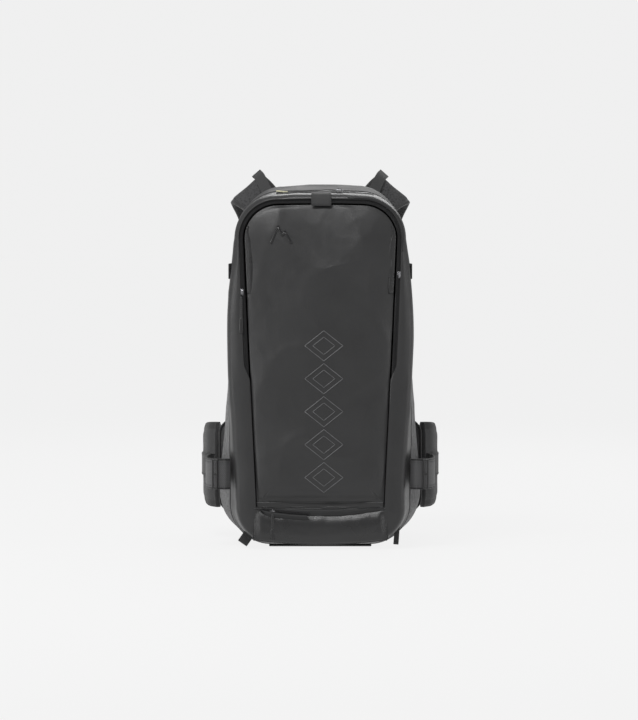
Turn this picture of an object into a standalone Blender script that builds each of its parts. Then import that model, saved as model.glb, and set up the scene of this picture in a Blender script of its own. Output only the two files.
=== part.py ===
"""Ski backpack of about 30 litres: a zipped bag with a fold-down front panel, ski loops and a carrying harness.

Metres, +Z up. The front panel faces -Y and the wearer's back is on the +Y side. +X is to the right
of someone who looks at the front panel. The origin is the centre of the base panel's flat underside.
"""

import math
from collections import namedtuple

import bmesh
import bpy
from mathutils import Matrix, Vector

# ---- driving dimensions -------------------------------------------------------------------------
GAP = 0.0004  # clearance between pieces that lie on each other
WALL = 0.004  # sewn wall: shell fabric, foam and lining
BACK_Y = 0.085  # the bag's back wall, where the harness is sewn
FRONT_BASE_Y = -0.100  # the front plane's y at z = 0
FRONT_LEAN = 0.070  # how far the front plane leans back, in y for each metre of height
BASE_THICK = 0.003
ROUND_BACK = 0.065  # share of the depth taken by the rounded rear edge
ROUND_FRONT = 0.90  # share of the depth where the rounded front edge starts
FLAT_FLOOR = 0.70  # share of the depth where the floor starts to curve up to the front
BACK_INSET, FRONT_INSET = 0.012, 0.005  # how far the back and front faces stand in from the widest outline
SIDE_SEAM = 0.62  # share of the depth where the heather sides meet the coated front
BACK_SEAM = 0.035  # share of the depth where the back panel meets the heather sides
SEAM_GAP = 0.0005

Outline = namedtuple("Outline", "low high half_low half_mid half_high r_low r_high crown")

BACK = Outline(0.0035, 0.561, 0.158, 0.142, 0.122, 0.074, 0.064, 0.003)
FRONT = Outline(0.0080, 0.547, 0.131, 0.1435, 0.1325, 0.058, 0.066, 0.003)
WINDOW = Outline(0.0700, 0.5330, 0.0990, 0.109, 0.1180, 0.004, 0.052, 0.001)  # zipped front opening
BOW_SKEW = 1.5  # above 1, the sides are widest above the middle of their height

FLAP_CROWN = 0.016  # how far the front panel bulges
FLAP_THICK = 0.005
HINGE_Z = 0.0665  # the fold along the bottom of the front panel
POCKET_LOW, POCKET_HIGH = 0.014, 0.0535
POCKET_HALF, POCKET_THICK = 0.0955, 0.007

ZIP_WIDTH, ZIP_THICK = 0.008, 0.0012
ZIP_OFFSET = 0.0060  # from the edge of the opening to the middle of the zip tape
SLIDER = Vector((0.0065, 0.0040, 0.0110))  # across, deep, along the zip
PULL_WIDTH, PULL_THICK, PULL_LENGTH = 0.0070, 0.0030, 0.058
WELT_INSET = 0.0105  # from the middle of the zip tape to the middle of the welt beside it
MAIN_SLIDER_Z = 0.398
RIGHT_SLIDER_Z = 0.425

PAD_THICK = 0.014
STRAP_THICK = 0.012
STRAP_BULGE = 0.0013  # how far the strap's smooth curve stands out beyond its points at the chest
WEBBING_THICK = 0.0016
STERNUM_Z = 0.400
HIP_PIVOT = Vector((0.1630, 0.1000, 0.0))
HIP_WEBBING = 0.038
SKI_LOOP_Z, SKI_LOOP_HEIGHT, SKI_LOOP_THICK = 0.1155, 0.047, 0.0022
SKI_LOOP_PIVOT = Vector((0.1405, -0.0700, 0.0))

COLOURS = {  # name: base colour, roughness, metallic
    "coated_fabric": ((0.036, 0.036, 0.038), 0.45, 0.0),
    "heather_fabric": ((0.090, 0.090, 0.092), 0.90, 0.0),
    "lining_fabric": ((0.120, 0.120, 0.125), 0.85, 0.0),
    "harness_foam": ((0.020, 0.020, 0.021), 0.90, 0.0),
    "spacer_mesh": ((0.028, 0.028, 0.030), 0.95, 0.0),
    "webbing": ((0.014, 0.014, 0.015), 0.80, 0.0),
    "strap_panel": ((0.060, 0.060, 0.062), 0.70, 0.0),
    "moulded_plastic": ((0.012, 0.012, 0.013), 0.40, 0.0),
    "zip_tape": ((0.008, 0.008, 0.009), 0.60, 0.0),
    "zip_metal": ((0.30, 0.30, 0.31), 0.35, 1.0),
    "frame_plastic": ((0.45, 0.46, 0.47), 0.50, 0.0),
    "stay_aluminium": ((0.60, 0.61, 0.63), 0.35, 1.0),
    "label_fabric": ((0.45, 0.43, 0.32), 0.80, 0.0),
}


# ---- building blocks ----------------------------------------------------------------------------
def lerp(a, b, t):
    return a + (b - a) * t


def blended(a, b, t):
    """The outline a share t of the way from a to b."""
    return Outline(*(lerp(p, q, t) for p, q in zip(a, b)))


def grown(outline, by):
    """The outline moved outwards by a distance, or inwards by a negative one."""
    o = outline
    return Outline(
        o.low - by,
        o.high + by,
        o.half_low + by,
        o.half_mid + by,
        o.half_high + by,
        max(o.r_low + by, 0.002),
        max(o.r_high + by, 0.002),
        o.crown,
    )


def half_width(o, z):
    """Half the width of the outline's side at height z."""
    t = (z - o.low - o.r_low) / (o.high - o.r_high - o.low - o.r_low)
    bow = o.half_mid - (o.half_low + o.half_high) / 2
    return lerp(o.half_low, o.half_high, t) + bow * math.sin(math.pi * min(max(t, 0.0), 1.0) ** BOW_SKEW)


def right_half(o, corner=6, side=8, level=3):
    """(x, z) points of the outline's right half, from the middle of the bottom to the middle of the top."""
    points = []
    for i in range(level):
        points.append(((o.half_low - o.r_low) * i / level, o.low))
    for i in range(corner):
        a = math.radians(-90 + 90 * i / corner)
        points.append((o.half_low - o.r_low + o.r_low * math.cos(a), o.low + o.r_low + o.r_low * math.sin(a)))
    side_low, side_high = o.low + o.r_low, o.high - o.r_high
    for i in range(side):
        z = lerp(side_low, side_high, i / side)
        points.append((half_width(o, z), z))
    for i in range(corner):
        a = math.radians(90 * i / corner)
        points.append((o.half_high - o.r_high + o.r_high * math.cos(a), side_high + o.r_high * math.sin(a)))
    flat = o.half_high - o.r_high
    for i in range(level + 1):
        x = flat * (1 - i / level)
        points.append((x, o.high + o.crown * (1 - (x / flat) ** 2)))
    return points


def front_y(z):
    """The front plane's y at height z."""
    return FRONT_BASE_Y + FRONT_LEAN * z


def ring_at(outline, depth, shift=0.0):
    """The outline as a closed ring of points, at a share of the depth: 0 is the back wall and 1 the front plane."""
    right = right_half(outline)
    loop = right + [(-x, z) for x, z in reversed(right[1:-1])]
    return [Vector((x, lerp(BACK_Y, front_y(z), depth) + shift, z)) for x, z in loop]


def material(name):
    found = bpy.data.materials.get(name)
    if found:
        return found
    colour, roughness, metallic = COLOURS[name]
    made = bpy.data.materials.new(name)
    made.use_nodes = True
    shader = made.node_tree.nodes["Principled BSDF"]
    shader.inputs["Base Color"].default_value = (*colour, 1.0)
    shader.inputs["Roughness"].default_value = roughness
    shader.inputs["Metallic"].default_value = metallic
    return made


def finish_mesh(name, mesh, material_name, sharp=35):
    """Closes a bmesh into a named object with its faces pointing out."""
    bmesh.ops.recalc_face_normals(mesh, faces=mesh.faces)
    data = bpy.data.meshes.new(name)
    mesh.to_mesh(data)
    mesh.free()
    data.shade_smooth()
    data.set_sharp_from_angle(angle=math.radians(sharp))
    data.materials.append(material(material_name))
    made = bpy.data.objects.new(name, data)
    bpy.context.scene.collection.objects.link(made)
    return made


def loft(name, rings, material_name, closed=False):
    """A solid through rings of equal length, capped at its ends or closed back to its first ring."""
    mesh = bmesh.new()
    rows = [[mesh.verts.new(p) for p in ring] for ring in rings]
    count = len(rows[0])
    for a, b in zip(rows, [*rows[1:], rows[0]] if closed else rows[1:]):
        for i in range(count):
            j = (i + 1) % count
            mesh.faces.new((a[i], a[j], b[j], b[i]))
    if not closed:
        mesh.faces.new(list(reversed(rows[0])))
        mesh.faces.new(rows[-1])
    return finish_mesh(name, mesh, material_name)


def smooth_path(points, steps):
    """Points on a Catmull-Rom curve through the given vectors."""
    ends = [2 * points[0] - points[1], *points, 2 * points[-1] - points[-2]]
    made = []
    for p0, p1, p2, p3 in zip(ends, ends[1:], ends[2:], ends[3:]):
        for i in range(steps):
            t = i / steps
            made.append(
                0.5 * (2 * p1 + (p2 - p0) * t + (2 * p0 - 5 * p1 + 4 * p2 - p3) * t**2 + (3 * p1 - p0 - 3 * p2 + p3) * t**3)
            )
    return [*made, points[-1].copy()]


def band(name, path, across, width, thick, material_name, rounded=False):
    """A flat strap along a path. across is the width's direction, and across, width and thick may be lists, one for each point."""
    count = len(path)
    acrosses = across if isinstance(across, list) else [across] * count
    widths = width if isinstance(width, list) else [width] * count
    thicks = thick if isinstance(thick, list) else [thick] * count
    rings = []
    for i, point in enumerate(path):
        along = (path[min(i + 1, count - 1)] - path[max(i - 1, 0)]).normalized()
        side = acrosses[i] - along * acrosses[i].dot(along)
        side.normalize()
        up = along.cross(side)
        w, t = widths[i] / 2, thicks[i] / 2
        if rounded:
            corners = [(-1, 0), (-0.9, -0.8), (-0.7, -1), (0.7, -1), (0.9, -0.8), (1, 0), (0.9, 0.8), (0.7, 1), (-0.7, 1), (-0.9, 0.8)]
        else:
            corners = [(-1, -1), (1, -1), (1, 1), (-1, 1)]
        rings.append([point + side * w * a + up * t * b for a, b in corners])
    return loft(name, rings, material_name)


def block(name, low, high, material_name, bevel=0.0, segments=2):
    """A box between two corners, with its edges rounded."""
    mesh = bmesh.new()
    bmesh.ops.create_cube(mesh, size=1.0)
    low, high = Vector(low), Vector(high)
    for v in mesh.verts:
        v.co = Vector(lerp(low[k], high[k], v.co[k] + 0.5) for k in range(3))
    if bevel:
        bmesh.ops.bevel(mesh, geom=list(mesh.edges), offset=bevel, segments=segments, affect="EDGES", profile=0.5)
    return finish_mesh(name, mesh, material_name)


def cut(target, low, high):
    """Cuts a box out of an object with a Boolean, whose cutter stays in the scene as a hidden helper."""
    tool = block(target.name + "_cutter", low, high, "zip_tape")
    tool.hide_render = True
    tool.display_type = "WIRE"
    modifier = target.modifiers.new("cut", "BOOLEAN")
    modifier.operation = "DIFFERENCE"
    modifier.solver = "EXACT"
    modifier.object = tool
    return tool


def mirrored(point, side):
    """The point for side +1, or its mirror image across the middle plane for side -1."""
    return Vector((point[0] * side, point[1], point[2]))


def sides():
    return (("left", -1), ("right", 1))


# ---- the bag ------------------------------------------------------------------------------------
def wall_outline(depth):
    """The outline of the bag's outer face at a share of the depth."""
    share = (min(max(depth, ROUND_BACK), ROUND_FRONT) - ROUND_BACK) / (ROUND_FRONT - ROUND_BACK)
    outline = blended(BACK, FRONT, share)
    if depth <= FLAT_FLOOR:
        outline = outline._replace(low=BACK.low)
    if depth < ROUND_BACK:
        outline = grown(outline, -BACK_INSET * (1 - math.sqrt(depth / ROUND_BACK)))._replace(low=BACK.low)
    if depth > ROUND_FRONT:
        bend = (depth - ROUND_FRONT) / (1 - ROUND_FRONT)
        outline = grown(outline, -FRONT_INSET * bend * bend)
    return outline


def wall_ring(depth, inside):
    """The bag's wall as a ring at a share of the depth, on its outer or its inner face."""
    return ring_at(grown(wall_outline(depth), -WALL if inside else 0.0), depth)


def wall_x(depth, z):
    """Distance from the middle to the bag's side at a share of the depth and a height."""
    return half_width(wall_outline(depth), z)


def make_bag_walls():
    """The sewn bag: back panel, heather sides all round, and the coated front frame of the opening."""
    rim = [0.0, 0.012, BACK_SEAM - SEAM_GAP]
    back = [wall_ring(d, False) for d in rim]
    inner = [wall_ring(BACK_SEAM - SEAM_GAP, True), ring_at(grown(BACK, -WALL - BACK_INSET), 0.0, -WALL)]
    loft("back_panel", back + inner, "spacer_mesh")
    depths = [BACK_SEAM + SEAM_GAP, ROUND_BACK, 0.2, 0.4, SIDE_SEAM - SEAM_GAP]
    outside = [wall_ring(d, False) for d in depths]
    inside = [wall_ring(d, True) for d in reversed(depths)]
    loft("side_gusset", outside + inside, "heather_fabric", closed=True)
    depths = [SIDE_SEAM + SEAM_GAP, FLAT_FLOOR, 0.8, ROUND_FRONT, 0.96, 1.0]
    outside = [wall_ring(d, False) for d in depths] + [ring_at(WINDOW, 1.0)]
    front_inner = grown(FRONT, -WALL - FRONT_INSET)
    inside = [ring_at(WINDOW, 1.0, WALL), ring_at(front_inner, 1.0, WALL)]
    inside += [wall_ring(d, True) for d in reversed(depths[:-2])]
    loft("front_frame", outside + inside, "coated_fabric", closed=True)


def make_base_panel():
    """The hard-wearing panel that the bag stands on."""
    half = BACK.half_low - BACK.r_low - 0.004
    block("base_panel", (-half, -0.0435, 0.0), (half, 0.083, BASE_THICK), "moulded_plastic", bevel=0.001, segments=1)


def make_front_panel():
    """The crowned panel that folds down along its lower edge when the main zip is open."""
    edge = grown(WINDOW, -0.0007)
    steps = [(0.0, 0.0), (0.010, 0.30), (0.035, 0.72), (0.070, 1.0)]
    outside = [
        [p + Vector((0, -0.001 - FLAP_CROWN * rise, 0)) for p in ring_at(grown(edge, -inset), 1.0)] for inset, rise in steps
    ]
    inside = [[p + Vector((0, FLAP_THICK, 0)) for p in ring] for ring in reversed(outside)]
    return loft("front_panel", inside + outside, "coated_fabric")


def on_front(x, z, out):
    """A point that stands out from the front plane by a distance."""
    return Vector((x, front_y(z) - out, z))


def make_lower_pocket():
    """The flat pocket below the front panel. Its front leans with the bag and its edges are rounded off."""
    rings = []
    for out, inset in ((GAP, 0.0), (0.004, 0.0), (POCKET_THICK, 0.005)):
        low, high, half = POCKET_LOW + inset, POCKET_HIGH - inset, POCKET_HALF - inset
        corners = [(-half, low), (half, low), (half, high), (-half, high)]
        rings.append([on_front(x, z, out) for x, z in corners])
    return loft("lower_pocket", rings, "coated_fabric")


# ---- zips ---------------------------------------------------------------------------------------
def front_plane_band(name, path, width, out, thick, material_name):
    """A tape that lies on the front plane along a path of (x, z) points."""
    rings = []
    for i, (x, z) in enumerate(path):
        before, after = path[max(i - 1, 0)], path[min(i + 1, len(path) - 1)]
        along = Vector((after[0] - before[0], after[1] - before[1])).normalized()
        across = Vector((-along[1], along[0])) * width / 2
        a, b = (x - across[0], z - across[1]), (x + across[0], z + across[1])
        rings.append([on_front(*a, out), on_front(*b, out), on_front(*b, out + thick), on_front(*a, out + thick)])
    return loft(name, rings, material_name)


def opening_path(offset, z_end):
    """The edge of the front opening, moved outwards, from the left side at z_end over the top to the right side."""
    o = grown(WINDOW, offset)
    right = [p for p in right_half(o) if p[1] > z_end]
    right.insert(0, (half_width(o, z_end), z_end))
    return [(-x, z) for x, z in right] + list(reversed(right[:-1]))


def seam_x(z):
    """Distance from the middle to the main zip's tape at height z."""
    return half_width(grown(WINDOW, ZIP_OFFSET), z)


def make_slider(name, x, z, out=ZIP_THICK + 2 * GAP):
    """A zip slider on the front plane, with its upper and lower plates and the bridge for the pull."""
    made = block(
        name,
        (x - SLIDER[0] / 2, front_y(z) - out - SLIDER[1], z - SLIDER[2] / 2),
        (x + SLIDER[0] / 2, front_y(z + SLIDER[2]) - out - 0.001, z + SLIDER[2] / 2),
        "zip_metal",
        bevel=0.0008,
        segments=1,
    )
    return made


def make_pull(name, x, top, length, out):
    """A cord pull with a moulded end, which hangs from its slider along the front plane."""
    points = [on_front(x, top - length * s, out) for s in (0.0, 0.08, 0.55, 0.62, 0.94, 1.0)]
    widths = [0.003, 0.0035, 0.0035, PULL_WIDTH, PULL_WIDTH, 0.005]
    thicks = [0.002, 0.0022, 0.0022, PULL_THICK, PULL_THICK, 0.002]
    band(name, points, Vector((1, 0, 0)), widths, thicks, "webbing")


def make_main_zip():
    """The U-shaped zip round the front panel, its two sliders, the left one's pull, and the welts beside its upper corners."""
    front_plane_band("main_zip_tape", opening_path(ZIP_OFFSET, WINDOW.low + 0.006), ZIP_WIDTH, GAP, ZIP_THICK, "zip_tape")
    make_slider("main_zip_slider", -seam_x(MAIN_SLIDER_Z) - 0.001, MAIN_SLIDER_Z)
    make_pull("main_zip_pull", -seam_x(MAIN_SLIDER_Z) - 0.002, MAIN_SLIDER_Z - SLIDER[2] / 2 - 0.001, PULL_LENGTH, 0.0050)
    make_slider("main_zip_slider_right", seam_x(RIGHT_SLIDER_Z) + 0.001, RIGHT_SLIDER_Z)
    for name, side in sides():
        heights = [lerp(0.408, 0.478, i / 5) for i in range(6)]
        path = [(side * (seam_x(z) - WELT_INSET), z) for z in heights]
        front_plane_band(f"zip_welt_{name}", path, 0.0085, 0.0056, 0.0012, "coated_fabric")


def make_pocket_zip():
    """The zip along the top of the lower pocket."""
    z = (POCKET_HIGH + WINDOW.low) / 2 - 0.0015
    path = [(lerp(-POCKET_HALF, POCKET_HALF, i / 6), z) for i in range(7)]
    front_plane_band("pocket_zip_tape", path, 0.007, GAP, ZIP_THICK, "zip_tape")
    x, slider_z = -0.074, z - 0.0045
    top = front_y(slider_z) - ZIP_THICK - 3 * GAP
    block(
        "pocket_zip_slider",
        (x - 0.0055, top - 0.0045, slider_z + 0.0015),
        (x + 0.0055, top - 0.0005, slider_z + 0.0065),
        "zip_metal",
        bevel=0.0007,
        segments=1,
    )
    make_pull("pocket_zip_pull", x, slider_z + 0.0005, 0.042, POCKET_THICK + 0.0025)


def top_z(x, depth):
    """The bag's top at x and a share of the depth."""
    o = blended(BACK, FRONT, (depth - ROUND_BACK) / (ROUND_FRONT - ROUND_BACK))
    flat = o.half_high - o.r_high
    if abs(x) <= flat:
        return o.high + o.crown * (1 - (x / flat) ** 2)
    return o.high - o.r_high + math.sqrt(max(o.r_high**2 - (abs(x) - flat) ** 2, 0.0))


def make_goggle_pocket():
    """The padded pocket under the top, its zip along the front of the top, and the zip's slider."""
    block("goggle_pocket", (-0.080, -0.030, 0.478), (0.080, 0.060, 0.530), "lining_fabric", bevel=0.010)
    depth = 0.80
    y = lerp(BACK_Y, front_y(0.54), depth)
    xs = [lerp(-0.070, 0.085, i / 10) for i in range(11)]
    path = [Vector((x, y, top_z(x, depth) + 0.0018)) for x in xs]
    band("goggle_zip_tape", path, Vector((0, 1, 0)), ZIP_WIDTH, ZIP_THICK, "zip_tape")
    x = 0.030
    z = top_z(x, depth) + 0.0042
    block("goggle_zip_slider", (x - 0.0055, y - 0.0035, z), (x + 0.0055, y + 0.0035, z + 0.0042), "zip_metal", bevel=0.0008, segments=1)


def make_top_details():
    """The webbing patch over the middle of the top edge, the sewn tag beside it, and the haul loop."""
    x0, x1 = -0.014, 0.017
    z = 0.5425
    path = [Vector((0.0015, front_y(z) - 0.0040, z - 0.010)), Vector((0.0015, front_y(z) - 0.0042, z + 0.004))]
    path.append(Vector((0.0015, front_y(z) + 0.004, z + 0.0078)))
    band("top_patch", path, Vector((1, 0, 0)), x1 - x0, 0.0012, "webbing")
    tag_y = lerp(BACK_Y, front_y(0.54), 0.66)
    tag_x = -0.060
    tag_z = top_z(tag_x + 0.009, 0.66)
    block("sewn_tag", (tag_x - 0.009, tag_y - 0.004, tag_z + 0.0006), (tag_x + 0.009, tag_y + 0.004, tag_z + 0.0016), "label_fabric")
    points = [(-0.040, 0.0895, 0.534), (-0.038, 0.0960, 0.5425), (-0.026, 0.1120, 0.5500), (0.0, 0.1180, 0.5525)]
    left = [Vector(p) for p in points]
    path = smooth_path(left + [mirrored(p, -1) for p in reversed(left[:-1])], 3)
    band("haul_loop", path, Vector((0, 0.35, 0.94)), 0.0080, 0.0032, "webbing", rounded=True)


# ---- inside -------------------------------------------------------------------------------------
def make_inside():
    """What stiffens the back and sorts the load: a frame sheet, two stays, a bladder sleeve and a tool sleeve."""
    inner_y = BACK_Y - WALL - GAP
    sheet_y = inner_y - 0.0022
    block("frame_sheet", (-0.092, sheet_y, 0.045), (0.092, inner_y, 0.505), "frame_plastic", bevel=0.0006, segments=1)
    stay_y = sheet_y - GAP
    for name, side in sides():
        low, high = sorted((side * 0.040, side * 0.060))
        block(f"frame_stay_{name}", (low, stay_y - 0.003, 0.060), (high, stay_y, 0.490), "stay_aluminium", bevel=0.0006, segments=1)
    sleeve_y = stay_y - 0.003 - GAP
    block("bladder_sleeve", (-0.085, sleeve_y - 0.004, 0.050), (0.085, sleeve_y, 0.400), "lining_fabric", bevel=0.001, segments=1)
    tool_y = sleeve_y - 0.004 - GAP
    block("tool_sleeve", (-0.075, tool_y - 0.005, 0.050), (0.075, tool_y, 0.270), "heather_fabric", bevel=0.0015, segments=1)


# ---- harness ------------------------------------------------------------------------------------
def make_back_pads():
    """Two moulded columns, the lumbar pad, and the spacer mesh in the air channel between the columns."""
    y = BACK_Y + GAP
    for name, side in sides():
        low, high = sorted((side * 0.017, side * 0.104))
        block(f"back_pad_{name}", (low, y, 0.205), (high, y + PAD_THICK, 0.455), "harness_foam", bevel=0.006)
    block("lumbar_pad", (-0.098, y, 0.040), (0.098, y + PAD_THICK + 0.006, 0.195), "harness_foam", bevel=0.008)
    block("channel_mesh", (-0.0155, y, 0.205), (0.0155, y + 0.004, 0.455), "spacer_mesh", bevel=0.001, segments=1)


STRAP_POINTS = [  # right shoulder strap: centre, direction of its width, width
    ((0.080, 0.0925, 0.466), (-1, 0, 0), 0.066),
    ((0.082, 0.0945, 0.505), (-1, 0, 0.12), 0.066),
    ((0.094, 0.1120, 0.539), (-0.90, 0, 0.42), 0.066),
    ((0.116, 0.1460, 0.556), (-0.76, 0, 0.65), 0.069),
    ((0.102, 0.1880, 0.519), (-0.85, 0, 0.45), 0.066),
    ((0.092, 0.2080, 0.466), (-1, 0, 0.12), 0.064),
    ((0.092, 0.2120, 0.440), (-1, 0, 0), 0.062),
    ((0.092, 0.2120, 0.350), (-1, 0, 0), 0.058),
    ((0.097, 0.2010, 0.300), (-1, 0, 0), 0.054),
    ((0.105, 0.1820, 0.255), (-1, 0, 0), 0.044),
]


def make_shoulder_straps():
    """Padded shoulder straps with their adjuster webbing, ladder locks and load lifters."""
    steps = 3
    for name, side in sides():
        centres = smooth_path([mirrored(p, side) for p, _, _ in STRAP_POINTS], steps)
        across = smooth_path([mirrored(a, side) for _, a, _ in STRAP_POINTS], steps)
        sizes = smooth_path([Vector((w, 0, 0)) for _, _, w in STRAP_POINTS], steps)
        band(f"shoulder_strap_{name}", centres, across, [s[0] for s in sizes], STRAP_THICK, "harness_foam", rounded=True)
        lock = mirrored((0.1075, 0.1745, 0.236), side)
        block(
            f"ladder_lock_{name}",
            lock - Vector((0.016, 0.004, 0.012)),
            lock + Vector((0.016, 0.004, 0.0125)),
            "moulded_plastic",
            bevel=0.0015,
            segments=1,
        )
        tail = [(0.1085, 0.1710, 0.2185), (0.118, 0.1500, 0.175), (0.130, 0.1220, 0.130), (0.136, 0.1020, 0.100)]
        path = smooth_path([mirrored(p, side) for p in tail], 3)
        band(f"shoulder_webbing_{name}", path, Vector((1, 0, 0)), 0.025, WEBBING_THICK, "webbing")
        lifter = [(0.083, 0.0866, 0.5360), (0.0840, 0.1000, 0.5505), (0.0960, 0.1290, 0.5760), (0.1030, 0.1470, 0.5840)]
        path = smooth_path([mirrored(p, side) for p in lifter], 3)
        across = smooth_path([mirrored(a, side) for a in ((-1, 0, 0.1), (-1, 0, 0.3), (-0.8, 0, 0.62), (-0.76, 0, 0.65))], 3)
        band(f"load_lifter_{name}", path, across, 0.018, WEBBING_THICK, "webbing")


def make_sternum_strap():
    """The chest strap: a clip on each shoulder strap, two webbings, and a side-release buckle closed at the middle."""
    face = STRAP_POINTS[6][0][1] + STRAP_THICK / 2 + STRAP_BULGE
    y = face + 0.0035
    for name, side in sides():
        x = side * STRAP_POINTS[6][0][0]
        clip = block(
            f"sternum_clip_{name}",
            (x - 0.012, face + GAP, STERNUM_Z - 0.0125),
            (x + 0.012, face + 0.0080, STERNUM_Z + 0.0125),
            "moulded_plastic",
            bevel=0.0015,
            segments=1,
        )
        cut(clip, (x - 0.015, y - 0.0013, STERNUM_Z - 0.0100), (x + 0.015, y + 0.0013, STERNUM_Z + 0.0100))
    band("sternum_webbing_left", [Vector((-0.0990, y, STERNUM_Z)), Vector((-0.0205, y, STERNUM_Z))], Vector((0, 0, 1)), 0.018, 0.0015, "webbing")
    band("sternum_webbing_right", [Vector((0.0180, y, STERNUM_Z)), Vector((0.0990, y, STERNUM_Z))], Vector((0, 0, 1)), 0.018, 0.0015, "webbing")
    half, deep = 0.0125, 0.0045
    socket = block("sternum_buckle_female", (-0.020, y - deep, STERNUM_Z - half), (0.006, y + deep, STERNUM_Z + half), "moulded_plastic", bevel=0.0015)
    cut(socket, (-0.011, y - 0.0027, STERNUM_Z - 0.0095), (0.010, y + 0.0027, STERNUM_Z + 0.0095))
    rings = []
    for x, tall, thick in ((-0.008, 0.006, 0.0018), (-0.005, 0.0085, 0.0022), (0.0062, 0.0085, 0.0022), (0.0066, 0.0120, 0.0042), (0.0170, 0.0120, 0.0042)):
        rings.append([Vector((x, y + t * thick, STERNUM_Z + h * tall)) for h, t in ((-1, -1), (1, -1), (1, 1), (-1, 1))])
    loft("sternum_buckle_male", rings, "moulded_plastic")


def make_hip_belt():
    """The hip belt: a fin sewn to each side of the back, a hinged wing, its webbing and one half of the buckle."""
    for name, side in sides():
        low, high = sorted((side * 0.1000, side * 0.1600))
        block(f"hip_fin_{name}", (low, BACK_Y + GAP, 0.045), (high, BACK_Y + 0.0145, 0.190), "harness_foam", bevel=0.005)
        points = [(0.1625, 0.1020), (0.1750, 0.1180), (0.1815, 0.1450), (0.1815, 0.1800), (0.1740, 0.2200), (0.1600, 0.2500)]
        heights = [0.142, 0.140, 0.132, 0.118, 0.098, 0.070]
        levels = [0.118, 0.118, 0.117, 0.116, 0.115, 0.115]
        steps = 3
        path = smooth_path([mirrored((x, y, z), side) for (x, y), z in zip(points, levels)], steps)
        tall = [v[0] for v in smooth_path([Vector((h, 0, 0)) for h in heights], steps)]
        band(f"hip_wing_{name}", path, Vector((0, 0, 1)), tall, PAD_THICK, "harness_foam", rounded=True)
        tail = [(0.1590, 0.2515), (0.1480, 0.2680), (0.1250, 0.2860), (0.0950, 0.2980), (0.0720, 0.3020)]
        path = smooth_path([mirrored((x, y, 0.115), side) for x, y in tail], 2)
        band(f"hip_webbing_{name}", path, Vector((0, 0, 1)), HIP_WEBBING, WEBBING_THICK, "webbing")
    y, z = 0.3022, 0.115
    socket = block("hip_buckle_female", (-0.0715, y - 0.0065, z - 0.024), (-0.0330, y + 0.0065, z + 0.024), "moulded_plastic", bevel=0.002)
    cut(socket, (-0.0600, y - 0.0040, z - 0.0190), (-0.0200, y + 0.0040, z + 0.0190))
    rings = []
    for x, tall, thick in ((0.0260, 0.0120, 0.0024), (0.0300, 0.0175, 0.0034), (0.0470, 0.0175, 0.0034), (0.0480, 0.0230, 0.0060), (0.0715, 0.0230, 0.0060)):
        rings.append([Vector((x, y + t * thick, z + h * tall)) for h, t in ((-1, -1), (1, -1), (1, 1), (-1, 1))])
    loft("hip_buckle_male", rings, "moulded_plastic")


# ---- ski carry ----------------------------------------------------------------------------------
def make_ski_carry():
    """The wide lower loops that hold the ski tails, their rear anchors, and the upper straps."""
    loop = [SKI_LOOP_PIVOT.xy, (0.1500, -0.0745), (0.1660, -0.0690), (0.1755, -0.0500), (0.1785, -0.0250)]
    loop += [(0.1785, 0.0250), (0.1750, 0.0480), (0.1690, 0.0600)]
    upper_z, upper_height = 0.430, 0.025
    for name, side in sides():
        path = smooth_path([mirrored((x, y, SKI_LOOP_Z), side) for x, y in loop], 2)
        band(f"ski_loop_{name}", path, Vector((0, 0, 1)), SKI_LOOP_HEIGHT, SKI_LOOP_THICK, "strap_panel")
        anchor = [(0.1595, 0.0720), (0.1640, 0.0715), (0.1685, 0.0690), (0.1700, 0.0640)]
        path = [mirrored((x, y, SKI_LOOP_Z), side) for x, y in anchor]
        band(f"ski_loop_anchor_{name}", path, Vector((0, 0, 1)), 0.030, 0.0040, "moulded_plastic")
        path = []
        for depth in (0.90, 0.80, 0.60, 0.40, 0.20, 0.12):
            x = wall_x(depth, upper_z) + 0.0028
            path.append(mirrored((x, lerp(BACK_Y, front_y(upper_z), depth), upper_z), side))
        band(f"upper_ski_strap_{name}", path, Vector((0, 0, 1)), upper_height, WEBBING_THICK, "webbing")


def make_bottom_loops():
    """The folded webbing loop at the lower left edge and the small tab at the lower right one."""
    y = front_y(0.02) + 0.040
    block("axe_loop", (-0.1285, y - 0.010, 0.0030), (-0.1120, y + 0.010, 0.0160), "webbing", bevel=0.001, segments=1)
    block("bottom_tab", (0.1160, y - 0.008, 0.0040), (0.1200, y + 0.008, 0.0150), "webbing", bevel=0.001, segments=1)


def set_origin(name, point):
    """Moves an object's origin to a point in the world and leaves its shape where it is."""
    found = bpy.data.objects[name]
    found.data.transform(Matrix.Translation(-point))
    found.location = point


def place_origins():
    """Puts each moving piece's origin on its joint's axis."""
    fold = on_front(0.0, HINGE_Z, 0.0)
    for name in ("front_panel", "zip_welt_left", "zip_welt_right"):
        set_origin(name, fold)
    for name, side in sides():
        set_origin(f"ski_loop_{name}", mirrored(SKI_LOOP_PIVOT, side))
        for piece in ("hip_wing", "hip_webbing"):
            set_origin(f"{piece}_{name}", mirrored(HIP_PIVOT, side))
    set_origin("hip_buckle_female", mirrored(HIP_PIVOT, -1))
    set_origin("hip_buckle_male", HIP_PIVOT)
    for name in ("main_zip_pull", "pocket_zip_pull"):
        points = [v.co.copy() for v in bpy.data.objects[name].data.vertices]
        top = sorted(points, key=lambda p: -p.z)[:4]
        set_origin(name, sum(top, Vector()) / len(top))


def centre_on_footprint():
    """Moves everything along Y, so that the origin is in the middle of the overall depth."""
    made = [o for o in bpy.data.objects if not o.hide_render]
    ys = [(o.matrix_world @ v.co).y for o in made for v in o.data.vertices]
    for found in bpy.data.objects:
        found.location.y -= (min(ys) + max(ys)) / 2


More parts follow.
